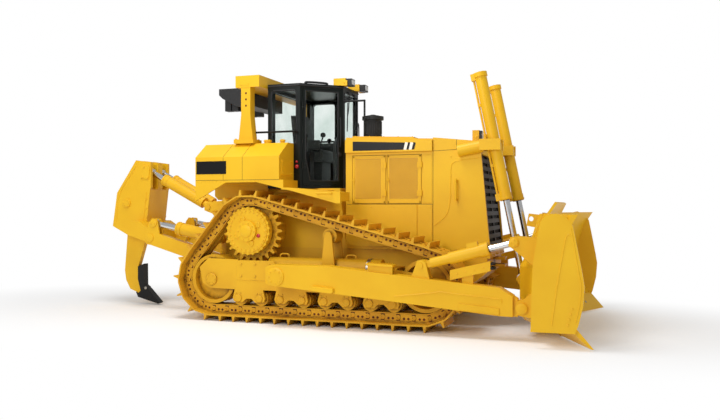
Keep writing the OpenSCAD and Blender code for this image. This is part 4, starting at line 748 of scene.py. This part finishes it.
side = round_loop(-712, -308, SILL_Z - 2, WINDOW_TOP + 2, 62, lambda a, z: (a, CAB_Y, z))
fit_both("side_window_seals", [bent_tube(side, 11, 8, 2)], hose_rubber)
front = round_loop(-283, 283, SILL_Z - 198, WINDOW_TOP, 12, lambda a, z: (CAB_FRONT, a, z))
rear = round_loop(-660, 660, SILL_Z, WINDOW_TOP, 12, lambda a, z: (CAB_REAR, a, z))
end_seals = [bent_tube(route, 9, 8, 1) for route in (front, rear)]
fit("end_window_seals", end_seals, hose_rubber, "tractor")

# %% Door fittings
DOOR_Z = corners("cab_door_left")[0].z
door_way = Vector((CAB_FRONT - CORNER_X, NOSE_Y - CAB_Y, 0))
DOOR_LEN = door_way.length
door_way.normalize()
door_out = Vector((-door_way.y, door_way.x, 0))
PANE_IN, PANE_CUT_X, PANE_CUT_Z, HANDLE_AT, BAR_OUT = 85, 160, 330, DOOR_LEN - 62, 42
PULL = [(34, 0), (34, 8), (26, 14), (12, 14)]


def on_door(along, out, z):
    """A point on the slanted cab door, measured from its hinged corner."""
    return Vector((CORNER_X, CAB_Y, z)) + along * door_way + out * door_out


pane_low, pane_high, pane_end = DOOR_Z + 65, WINDOW_TOP - 5, DOOR_LEN - PANE_IN
pane = [(PANE_IN, pane_low + PANE_CUT_Z), (PANE_CUT_X, pane_low), (pane_end, pane_low),
        (pane_end, pane_high), (PANE_IN, pane_high)]
fittings = [weld([on_door(along, 0, z) for along, z in pane + pane[:1]], 9),
            bent_tube([on_door(HANDLE_AT, out, z)
                       for out, z in ((0, 2560), (BAR_OUT, 2585), (BAR_OUT, 2950), (0, 2975))], 9),
            turned(on_door(HANDLE_AT, -2, 2440), door_out, PULL, 20)]
fittings += [hex_bolt(on_door(75, 12, z + d), door_out, 6)
             for z in (DOOR_Z + 250, WINDOW_TOP - 250) for d in (22, 68)]
fit_pair("cab_door_fittings", "cab_door", fittings, black_plastic)

# %% Roof rails, wipers, red lamps and roll frame
RAIL_OUT, RAIL_H, GUTTER_Z, WIPER_Z = -45, 26, CAB_Z - 30, WINDOW_TOP + 20
rail = [(110, CAB_Z - 2), (125, CAB_Z + RAIL_H), (420, CAB_Z + RAIL_H), (435, CAB_Z - 2)]
gutter = [(CAB_REAR + 10, CAB_Y), (CORNER_X, CAB_Y), (CAB_FRONT, NOSE_Y)]
wiper_arm = [(22, 120, WIPER_Z), (22, 160, 3130), (10, 175, 3020)]
wiper_blade = [(6, 150, 3240), (8, 185, 2800)]
roof = [bent_tube([on_door(along, RAIL_OUT, z) for along, z in rail], 17),
        weld([(x, y, GUTTER_Z) for x, y in gutter], 14),
        turned((CAB_FRONT, 120, WIPER_Z), AHEAD, [(26, 0), (26, 18), (18, 26)], 16),
        bent_tube([(CAB_FRONT + d, y, z) for d, y, z in wiper_arm], 6),
        bent_tube([(CAB_FRONT + d, y, z) for d, y, z in wiper_blade], 8)]
fit_both("roof_rails", roof, black_plastic)
red_lamp = [turned((-300, CAB_Y - 1, z), ACROSS, [(r, 0), (r, 12), (0.8 * r, 22), (0.3 * r, 27)], 20)
            for z, r in ((2248, 30), (2318, 17))]
fit_both("red_lamps", red_lamp, red_lens)

POST_X, POST_OUT, POST_HOLE = -1085.0, 1045.0, [(15, 0), (15, 3), (9, 5)]
# The post's holes are raised dots in dark rust brown, which paints the holes' shade along with rust.
post_dots = [turned((POST_X + 80, POST_OUT - 1, z), ACROSS, POST_HOLE, 14) for z in (3140, 3232, 3322)]
fit_both("roll_post_holes", post_dots, rust_and_hole_shade)
frame_bolts = [hex_bolt((x, y, TANK_Z + 59), UP, 15)
               for x in (POST_X - 78, POST_X + 180) for y in (840, 1060)]
frame_bolts.append(block(POST_X - 30, POST_X + 130, POST_OUT + 4, POST_OUT + 8, 3440, 3462, 4))
fit_both("roll_frame_bolts", frame_bolts)

# %% [markdown]
# ## Air conditioner and pre-cleaner
# The condenser box behind the roof blows through two round grilles. The pre-cleaner on the hood spins dust
# out of the air: its can has upright intake fins under a wide lid, held by a clamp.

# %% Fan grilles and intake fins
COOLER_REAR, FAN_R = corners("air_conditioner")[0].x, 172
waves = [(170 - 10 * k, 10 if k % 2 else 4) for k in range(15)]
fans = [turned((-1440, 270, 3489), UP, [(FAN_R, 0)] + waves, 40)]
fans += [block(COOLER_REAR - 4, COOLER_REAR + 4, y, y + 50, 3402, 3480, 3) for y in range(60, 481, 70)]
fit_both("cooler_grilles", fans, black_plastic)
CAN_X, CAN_R, FIN_Z, CLAMP_Z, LID_Z = 608.0, 132.0, 2760, 2728, corners("air_precleaner")[1].z
FIN, CLAMP = [(7, 0), (7, 190), (3, 196)], [(139, 0), (139, 18), (134, 20)]
LID_KNOB = [(60, 0), (54, 10), (30, 18), (8, 20)]
fins = [turned((CAN_X + CAN_R * math.cos(a), CAN_R * math.sin(a), FIN_Z), UP, FIN, 8) for a in around(30)]
fins.append(turned((CAN_X, 0, LID_Z - 1), UP, LID_KNOB, 28))
fins.append(turned((CAN_X, 0, CLAMP_Z), UP, CLAMP, 40))
fit("precleaner_fins", fins, black_plastic, "tractor")

# %% [markdown]
# ## Seat and controls
# The operator's seat is moulded foam under vinyl: a crowned cushion with a piped edge, and a back. Levers
# end in turned knobs, and the console has round gauges.

# %% Cushions and piping
PAD_RINGS, PAD_SIDES, PAD_CORNER, PAD_EDGE, PAD_CROWN = 24, 40, 0.4, 0.45, 0.75


def swell(v, power):
    """A sine or cosine made fuller by a power below 1, with its sign kept."""
    return math.copysign(abs(v) ** power, v)


def cushion(name, middle, half, tilt=0.0):
    """A crowned foam pad: a sphere pushed out towards its box by rounded powers."""
    lean = Matrix.Rotation(math.radians(tilt), 3, "Y")
    points = []
    for i in range(PAD_RINGS + 1):
        up = math.pi * (i / PAD_RINGS - 0.5)
        wide = swell(math.cos(up), PAD_EDGE)
        for a in around(PAD_SIDES):
            spot = Vector((half[0] * wide * swell(math.cos(a), PAD_CORNER),
                           half[1] * wide * swell(math.sin(a), PAD_CORNER),
                           half[2] * swell(math.sin(up), PAD_CROWN)))
            points.append(Vector(middle) + lean @ spot)
    faces = skin(PAD_RINGS + 1, PAD_SIDES, capped=False)
    pad = fit(name, [(points, faces)], seat_vinyl, "tractor")


SEAT_X, SEAT_Z, PIPE_X, PIPE_Y, PIPE_R = -352, 2490.0, 232, 258, 6
cushion("seat_cushion", (SEAT_X, 0, SEAT_Z + 4), (236, 262, 52))
cushion("back_cushion", (-508, 0, SEAT_Z + 310), (44, 232, 285), -8)
edges = [((1, 0.9), (0.9, 1), (-0.9, 1), (-1, 0.9)), ((1, 0), (1, 0.9))]
piping = [bent_tube([(SEAT_X + PIPE_X * c, PIPE_Y * d, SEAT_Z + 6) for c, d in edge], PIPE_R)
          for edge in edges]
fit_both("seat_piping", piping, black_plastic)

# %% Knobs and gauges
TALL_KNOB = [(16, 0), (24, 6), (36, 26), (38, 46), (30, 66), (12, 76)]
ROUND_KNOB = [(14, 0), (34, 10), (42, 34), (34, 60), (12, 72)]
GAUGE, GAUGE_WAY = [(44, 0), (44, 8), (38, 12), (36, 6)], (-0.65, 0, 0.76)
knobs = [turned((-300, 480, 2688), UP, TALL_KNOB, 24),
         bent_tube([(-150, 300, 2420), (-130, 300, 2600), (-95, 290, 2720)], 11),
         turned((-95, 290, 2712), UP, ROUND_KNOB, 24)]
fit_both("lever_knobs", knobs, black_plastic)
gauges = [turned((72, y, 2650), GAUGE_WAY, GAUGE, 24) for y in (45, 150)]
fit_both("gauges", gauges, lamp_lens)

# %% [markdown]
# ## Blade and push arms
# The moldboard is rolled plate. Its cutting edge and end bits wear out and are held by flush plough bolts.
# Beads run where the wings meet the middle and along the end plates' stiffeners. The push arms are welded
# boxes, capped at the trunnion.

# %% Plough bolts and beads
BLADE_BACK, BLADE_MID, MOLD_R, MOLD_LOW, MOLD_TOP, WING = 2990.0, 1150.0, 1250.0, 270.0, 1570.0, 25.0
END_Y, WING_X, FOLD_STEPS = corners("moldboard")[1].y, 3372.0, 12
PLOUGH_HEAD, EDGE_FACE = [(20, -3), (19, 2), (12, 4), (10, 2)], Vector((0.793, 0, 0.610))
STIFFENER = [(73, 290), (106, 545), (141, 784), (190, 1080), (237, 1321), (300, 1332)]
FRONT_BEAD = [(338, 330), (385, 560), (398, 760), (372, 900), (285, 1410)]
half_turn = math.tan(math.radians(WING / 2))
wing_turn = Matrix.Rotation(-math.radians(WING), 3, "Z")


def mold_x(z):
    """How far forward the rolled plate is at a height."""
    middle = (MOLD_LOW + MOLD_TOP) / 2 - 30
    return BLADE_BACK + 130 + MOLD_R - math.sqrt(MOLD_R ** 2 - (z - middle) ** 2)


def on_wing(x, y, z):
    """A point of the straight blade, y past its middle part, moved to the turned wing."""
    return Vector((BLADE_BACK, BLADE_MID, z)) + wing_turn @ Vector((x - BLADE_BACK, y, 0))


edge_x, edge_z = mold_x(MOLD_LOW) + 120, MOLD_LOW - 122
plough = [turned((edge_x, 70 + 150 * k, edge_z), EDGE_FACE, PLOUGH_HEAD, 14) for k in range(7)]
plough += [turned(on_wing(edge_x, 110 + 140 * k, edge_z), wing_turn @ EDGE_FACE, PLOUGH_HEAD, 14)
           for k in range(5)]
fit_both("plough_bolts", plough, pin_steel, body="blade")
heights = [MOLD_LOW + 10 + (MOLD_TOP - MOLD_LOW - 20) * k / FOLD_STEPS for k in range(FOLD_STEPS + 1)]
fold = [(mold_x(z) - 2, BLADE_MID - (mold_x(z) - BLADE_BACK) * half_turn, z) for z in heights]
beads = [bent_tube(fold, 6)]
beads += [bent_tube([(WING_X + x, END_Y, z) for x, z in line], 7) for line in (STIFFENER, FRONT_BEAD)]
beads += [hex_bolt((WING_X + 250 + 16 * k, END_Y - 1, 300 + 62 * k), ACROSS, 13) for k in range(4)]
fit_both("blade_beads", beads, body="blade")

# %% Trim of the push arms and pin ends
ARM_OUT, ARM_W, TILT_Y, STEP_RIBS = corners("push_arms")[1].y, 200.0, 1470.0, 11
TILT_EYE = Vector((2957, 1217))
TRUNNION_CAP = [(128, 0), (128, 14), (116, 20), (60, 22)]
RIDGE = [(1426, 501), (1904, 560), (2028, 582), (2807, 519), (2807, 470)]
WEAR_PLATE = [(2275, 447), (2275, 367), (2781, 324), (2781, 402)]
FOOT_STEP = [(277, 596), (277, 550), (300, 530), (570, 508), (594, 524), (594, 572)]
PIN_CAP, EYE_CAP = [(66, 0), (66, 8), (54, 12)], [(58, 0), (58, 14), (50, 20), (20, 22)]
trunnion, arm_pin = pivots["blade_lift"].xz, pivots["blade_pitch"].xz
arm_in = ARM_OUT - ARM_W
trim = [turned(beside(trunnion, ARM_OUT - 1), ACROSS, TRUNNION_CAP, 36)]
trim += bolt_circle(beside(trunnion, ARM_OUT + 18), ACROSS, 92, 8, 12)
trim += [weld(on_side(RIDGE, ARM_OUT), 9), cut_plate(WEAR_PLATE, ARM_OUT - 1, ARM_OUT + 14, 5),
         cut_plate(FOOT_STEP, ARM_OUT - 1, ARM_OUT + 60, 6)]
for k in range(STEP_RIBS):
    x, z = 1052 + 30 * k, 912 - 1.5 * k
    trim.append(block(x, x + 14, arm_in + 22, arm_in + 178, z, z + 13, 3))
trim += [hex_bolt((2240 + 110 * k, TILT_Y + 64, 815 + 28 * k), ACROSS, 9) for k in range(4)]
fit_both("push_arm_trim", trim, body="push_frame")
pin_ends = []
for way in (-1, 1):
    pin_ends.append(turned(beside(arm_pin, ARM_OUT - ARM_W / 2 + way * 125), (0, way, 0), PIN_CAP, 28))
for way in (-1, 1):
    pin_ends.append(turned(beside(TILT_EYE, TILT_Y + way * 85), (0, way, 0), EYE_CAP, 28))
    pin_ends += bolt_circle(beside(TILT_EYE, TILT_Y + way * 105), (0, way, 0), 36, 4, 8)
fit_both("blade_pin_ends", pin_ends, body="blade")

# %% [markdown]
# ## Cylinders
# A hydraulic cylinder's gland sits in the barrel and is locked by a ring of bolts, with a wiper ring for the
# rod. A lift cylinder's far end has a bolted cap too. The pivots and directions come from the joints.

# %% Glands, caps and wiper rings
def cylinder_fittings(name, y, reach, r, rod_r, back=None):
    """Gland ring and bolts at the rod's end of a barrel; back adds a bolted cap behind the pivot."""
    body = name + "_barrel_pair"
    way = slides[name + "_rod_slide"]
    pivot = pivots[name + "_barrel_swing"] + Vector((0, y, 0))
    shapes = bolt_circle(pivot + (reach - 1) * way, way, (r + rod_r) / 2 + 6, 8, 8)
    gland = [(r, 0), (r + 5, 3), (r + 5, 24), (r, 28)]
    shapes.append(turned(pivot + (reach - 34) * way, way, gland, 32))
    if back:
        cap = [(r, 0), (r + 4, 3), (r + 4, 20), (r, 24)]
        shapes += bolt_circle(pivot - (back - 1) * way, -way, r - 22, 8, 9)
        shapes.append(turned(pivot - (back - 30) * way, -way, cap, 32))
    fit_both(name + "_glands", shapes, body=body)
    wiper = [(rod_r + 12, 0), (rod_r + 12, 7), (rod_r + 3, 10)]
    ring = turned(pivot + (reach - 2) * way, way, wiper, 28)
    fit_both(name + "_wipers", [ring], hose_rubber, body=body)


cylinder_fittings("lift", y=610, reach=765, r=86, rod_r=44, back=1015)
cylinder_fittings("tilt", y=TILT_Y, reach=900, r=90, rod_r=42)
cylinder_fittings("ripper_tilt", y=140, reach=1000, r=95, rod_r=45)
cylinder_fittings("ripper_lift", y=540, reach=780, r=105, rod_r=50)

# %% [markdown]
# ## Ripper
# The shank slides in the carriage and is locked by a cross pin. Keeper plates hold the linkage pins, and
# beads run down the carriage's cheeks.

# %% Shank pin, keeper plates and tip pin
CHEEK_Y = 270
SHANK_PIN = [(74, 0), (74, 16), (64, 24), (30, 26)]
CHEEK_BEADS = [[(-900, 250), (-838, 700), (-500, 1180)], [(-390, 60), (-300, 740)]]
KEEPER = [(-3385, 2130), (-3225, 2110), (-3200, 2330), (-3330, 2350)]
KEEPER_BOLTS = [(-3350, 2150), (-3245, 2145), (-3310, 2320)]
PIN_KEEPER, TIP_PIN = [(70, 0), (70, 10), (58, 14)], [(24, 0), (24, 8), (16, 12)]


def on_head(x, y, z):
    """A point measured from the pivot of the ripper's carriage."""
    return pivots["ripper_level"] + Vector((x, y, z))


ripper_trim = [turned(on_head(-690, CHEEK_Y, 560), ACROSS, SHANK_PIN, 30)]
ripper_trim += bolt_circle(on_head(-690, CHEEK_Y + 22, 560), ACROSS, 48, 6, 9)
ripper_trim += [bent_tube([on_head(x, CHEEK_Y + 1, z) for x, z in line], 6) for line in CHEEK_BEADS]
ripper_trim += [hex_bolt(on_head(-300, CHEEK_Y - 1, z), ACROSS, 13) for z in (330, 480, 630)]
ripper_trim.append(cut_plate(KEEPER, CHEEK_Y - 2, CHEEK_Y + 14, 5))
ripper_trim += [hex_bolt((x, CHEEK_Y + 13, z), ACROSS, 14) for x, z in KEEPER_BOLTS]
fit_both("ripper_trim", ripper_trim, body="ripper_head")
keeper = turned(on_head(0, corners("ripper_pins")[1].y, 0), ACROSS, PIN_KEEPER, 28)
fit_both("ripper_pin_keepers", [keeper], body="ripper_head")
tip_pin = turned(on_head(-470, 56, -880), ACROSS, TIP_PIN, 18)
fit_both("tip_pins", [tip_pin], pin_steel, body="ripper_head")

# %% Caps of the ripper's mount and arms
MOUNT_Y, ARMS_Y = corners("ripper_mount")[1].y, corners("ripper_arms")[1].y
ROD_EYE, ROD_CAP = Vector((-2904, 1390)), [(62, 0), (62, 12), (52, 17), (20, 18)]
mount_caps = []
for joint, r in (("ripper_lift", 50), ("ripper_lift_barrel_swing", 45)):
    cap = [(r + 22, 0), (r + 22, 9), (r + 10, 13)]
    mount_caps.append(turned(beside(pivots[joint].xz, MOUNT_Y - 1), ACROSS, cap, 28))
    mount_caps.append(hex_bolt(beside(pivots[joint].xz, MOUNT_Y + 11), ACROSS, 15))
fit_both("ripper_mount_caps", mount_caps)
eye_caps = [turned(beside(ROD_EYE, ARMS_Y - 1), ACROSS, ROD_CAP, 28)]
eye_caps += bolt_circle(beside(ROD_EYE, ARMS_Y + 15), ACROSS, 34, 2, 11)
fit_both("ripper_eye_caps", eye_caps, body="ripper_arm_pair")

# %% [markdown]
# ## Studio
# The photo is a cut-out on white with light from above and a soft shadow. A pale floor takes the shadow and
# glows white away from the machine, a large soft lamp hangs above, and the sky lights the sides. These sizes
# are in metres.

# %% Floor
FLOOR_NEAR, FLOOR_FAR, FLOOR_SHAPE = 1.6, 4.2, (0.5, 1, 1)
WHITE, FLOOR_WHITE = linear("FFFFFF"), linear("FBFBFB")
floor_mesh = bpy.data.meshes.new("studio_floor")
floor_mesh.from_pydata([(-60, -40, 0), (60, -40, 0), (60, 80, 0), (-60, 80, 0)], [], [(0, 1, 2, 3)])
floor = bpy.data.objects.new("studio_floor", floor_mesh)
bpy.context.scene.collection.objects.link(floor)
floor_look, tree, shader, place = finish_of("studio_floor")
feed(tree, shader, {"Base Color": FLOOR_WHITE, "Roughness": 0.9, "Specular IOR Level": 0.1})
oval = add(tree, "ShaderNodeVectorMath", {0: place, 1: FLOOR_SHAPE}, operation="MULTIPLY")
distance = add(tree, "ShaderNodeVectorMath", {0: oval.outputs[0]}, operation="LENGTH").outputs["Value"]
fade = add(tree, "ShaderNodeMapRange", {"Value": distance, "From Min": FLOOR_NEAR, "From Max": FLOOR_FAR},
           interpolation_type="SMOOTHSTEP")
glow = add(tree, "ShaderNodeEmission", {"Color": WHITE, "Strength": 1.0})
blended = add(tree, "ShaderNodeMixShader", {0: fade.outputs[0], 1: shader.outputs[0], 2: glow.outputs[0]})
feed(tree, tree.nodes["Material Output"], {"Surface": blended.outputs[0]})
floor_mesh.materials.append(floor_look)
print("floor fades out from", FLOOR_NEAR, "to", FLOOR_FAR, "m")

# %% Sky, lamps and camera
SKY_STRENGTH, LAMP_SIZE = 0.5, 4.0
world = bpy.data.worlds.new("studio_sky")
bpy.context.scene.world = world
world.use_nodes = True
tree = world.node_tree
rays = add(tree, "ShaderNodeLightPath").outputs
direct = add(tree, "ShaderNodeMath", {0: rays["Is Camera Ray"], 1: rays["Is Transmission Ray"]},
             operation="MAXIMUM")
sky = tree.nodes["Background"]
feed(tree, sky, {"Color": WHITE, "Strength": SKY_STRENGTH})
backdrop = add(tree, "ShaderNodeBackground", {"Color": WHITE, "Strength": 1.0})
mixed = add(tree, "ShaderNodeMixShader", {0: direct.outputs[0], 1: sky.outputs[0], 2: backdrop.outputs[0]})
feed(tree, tree.nodes["World Output"], {"Surface": mixed.outputs[0]})


def soft_lamp(name, spot, target, power):
    """A large round lamp that looks at a target."""
    light = bpy.data.lights.new(name, "AREA")
    light.shape, light.size, light.energy = "DISK", LAMP_SIZE, power
    lamp = bpy.data.objects.new(name, light)
    lamp.location = spot
    lamp.rotation_euler = (Vector(target) - Vector(spot)).to_track_quat("-Z", "Y").to_euler()
    bpy.context.scene.collection.objects.link(lamp)
    print(name, power, "W")


soft_lamp("top_light", (-0.5, -3.0, 9.0), (0, 0, 1), 420)
soft_lamp("side_light", (-1.5, -11.0, 5.5), (0, 0, 1.2), 355)

lens_camera = bpy.data.cameras.new("photo_camera")
lens_camera.lens, lens_camera.sensor_width = 37.7, 36.0
camera = bpy.data.objects.new("photo_camera", lens_camera)
camera.location = (4.256, -10.917, 1.664)
camera.rotation_euler = (math.radians(89.72), 0, math.radians(19.46))
bpy.context.scene.collection.objects.link(camera)
bpy.context.scene.camera = camera
bpy.context.scene.view_settings.view_transform = "Standard"
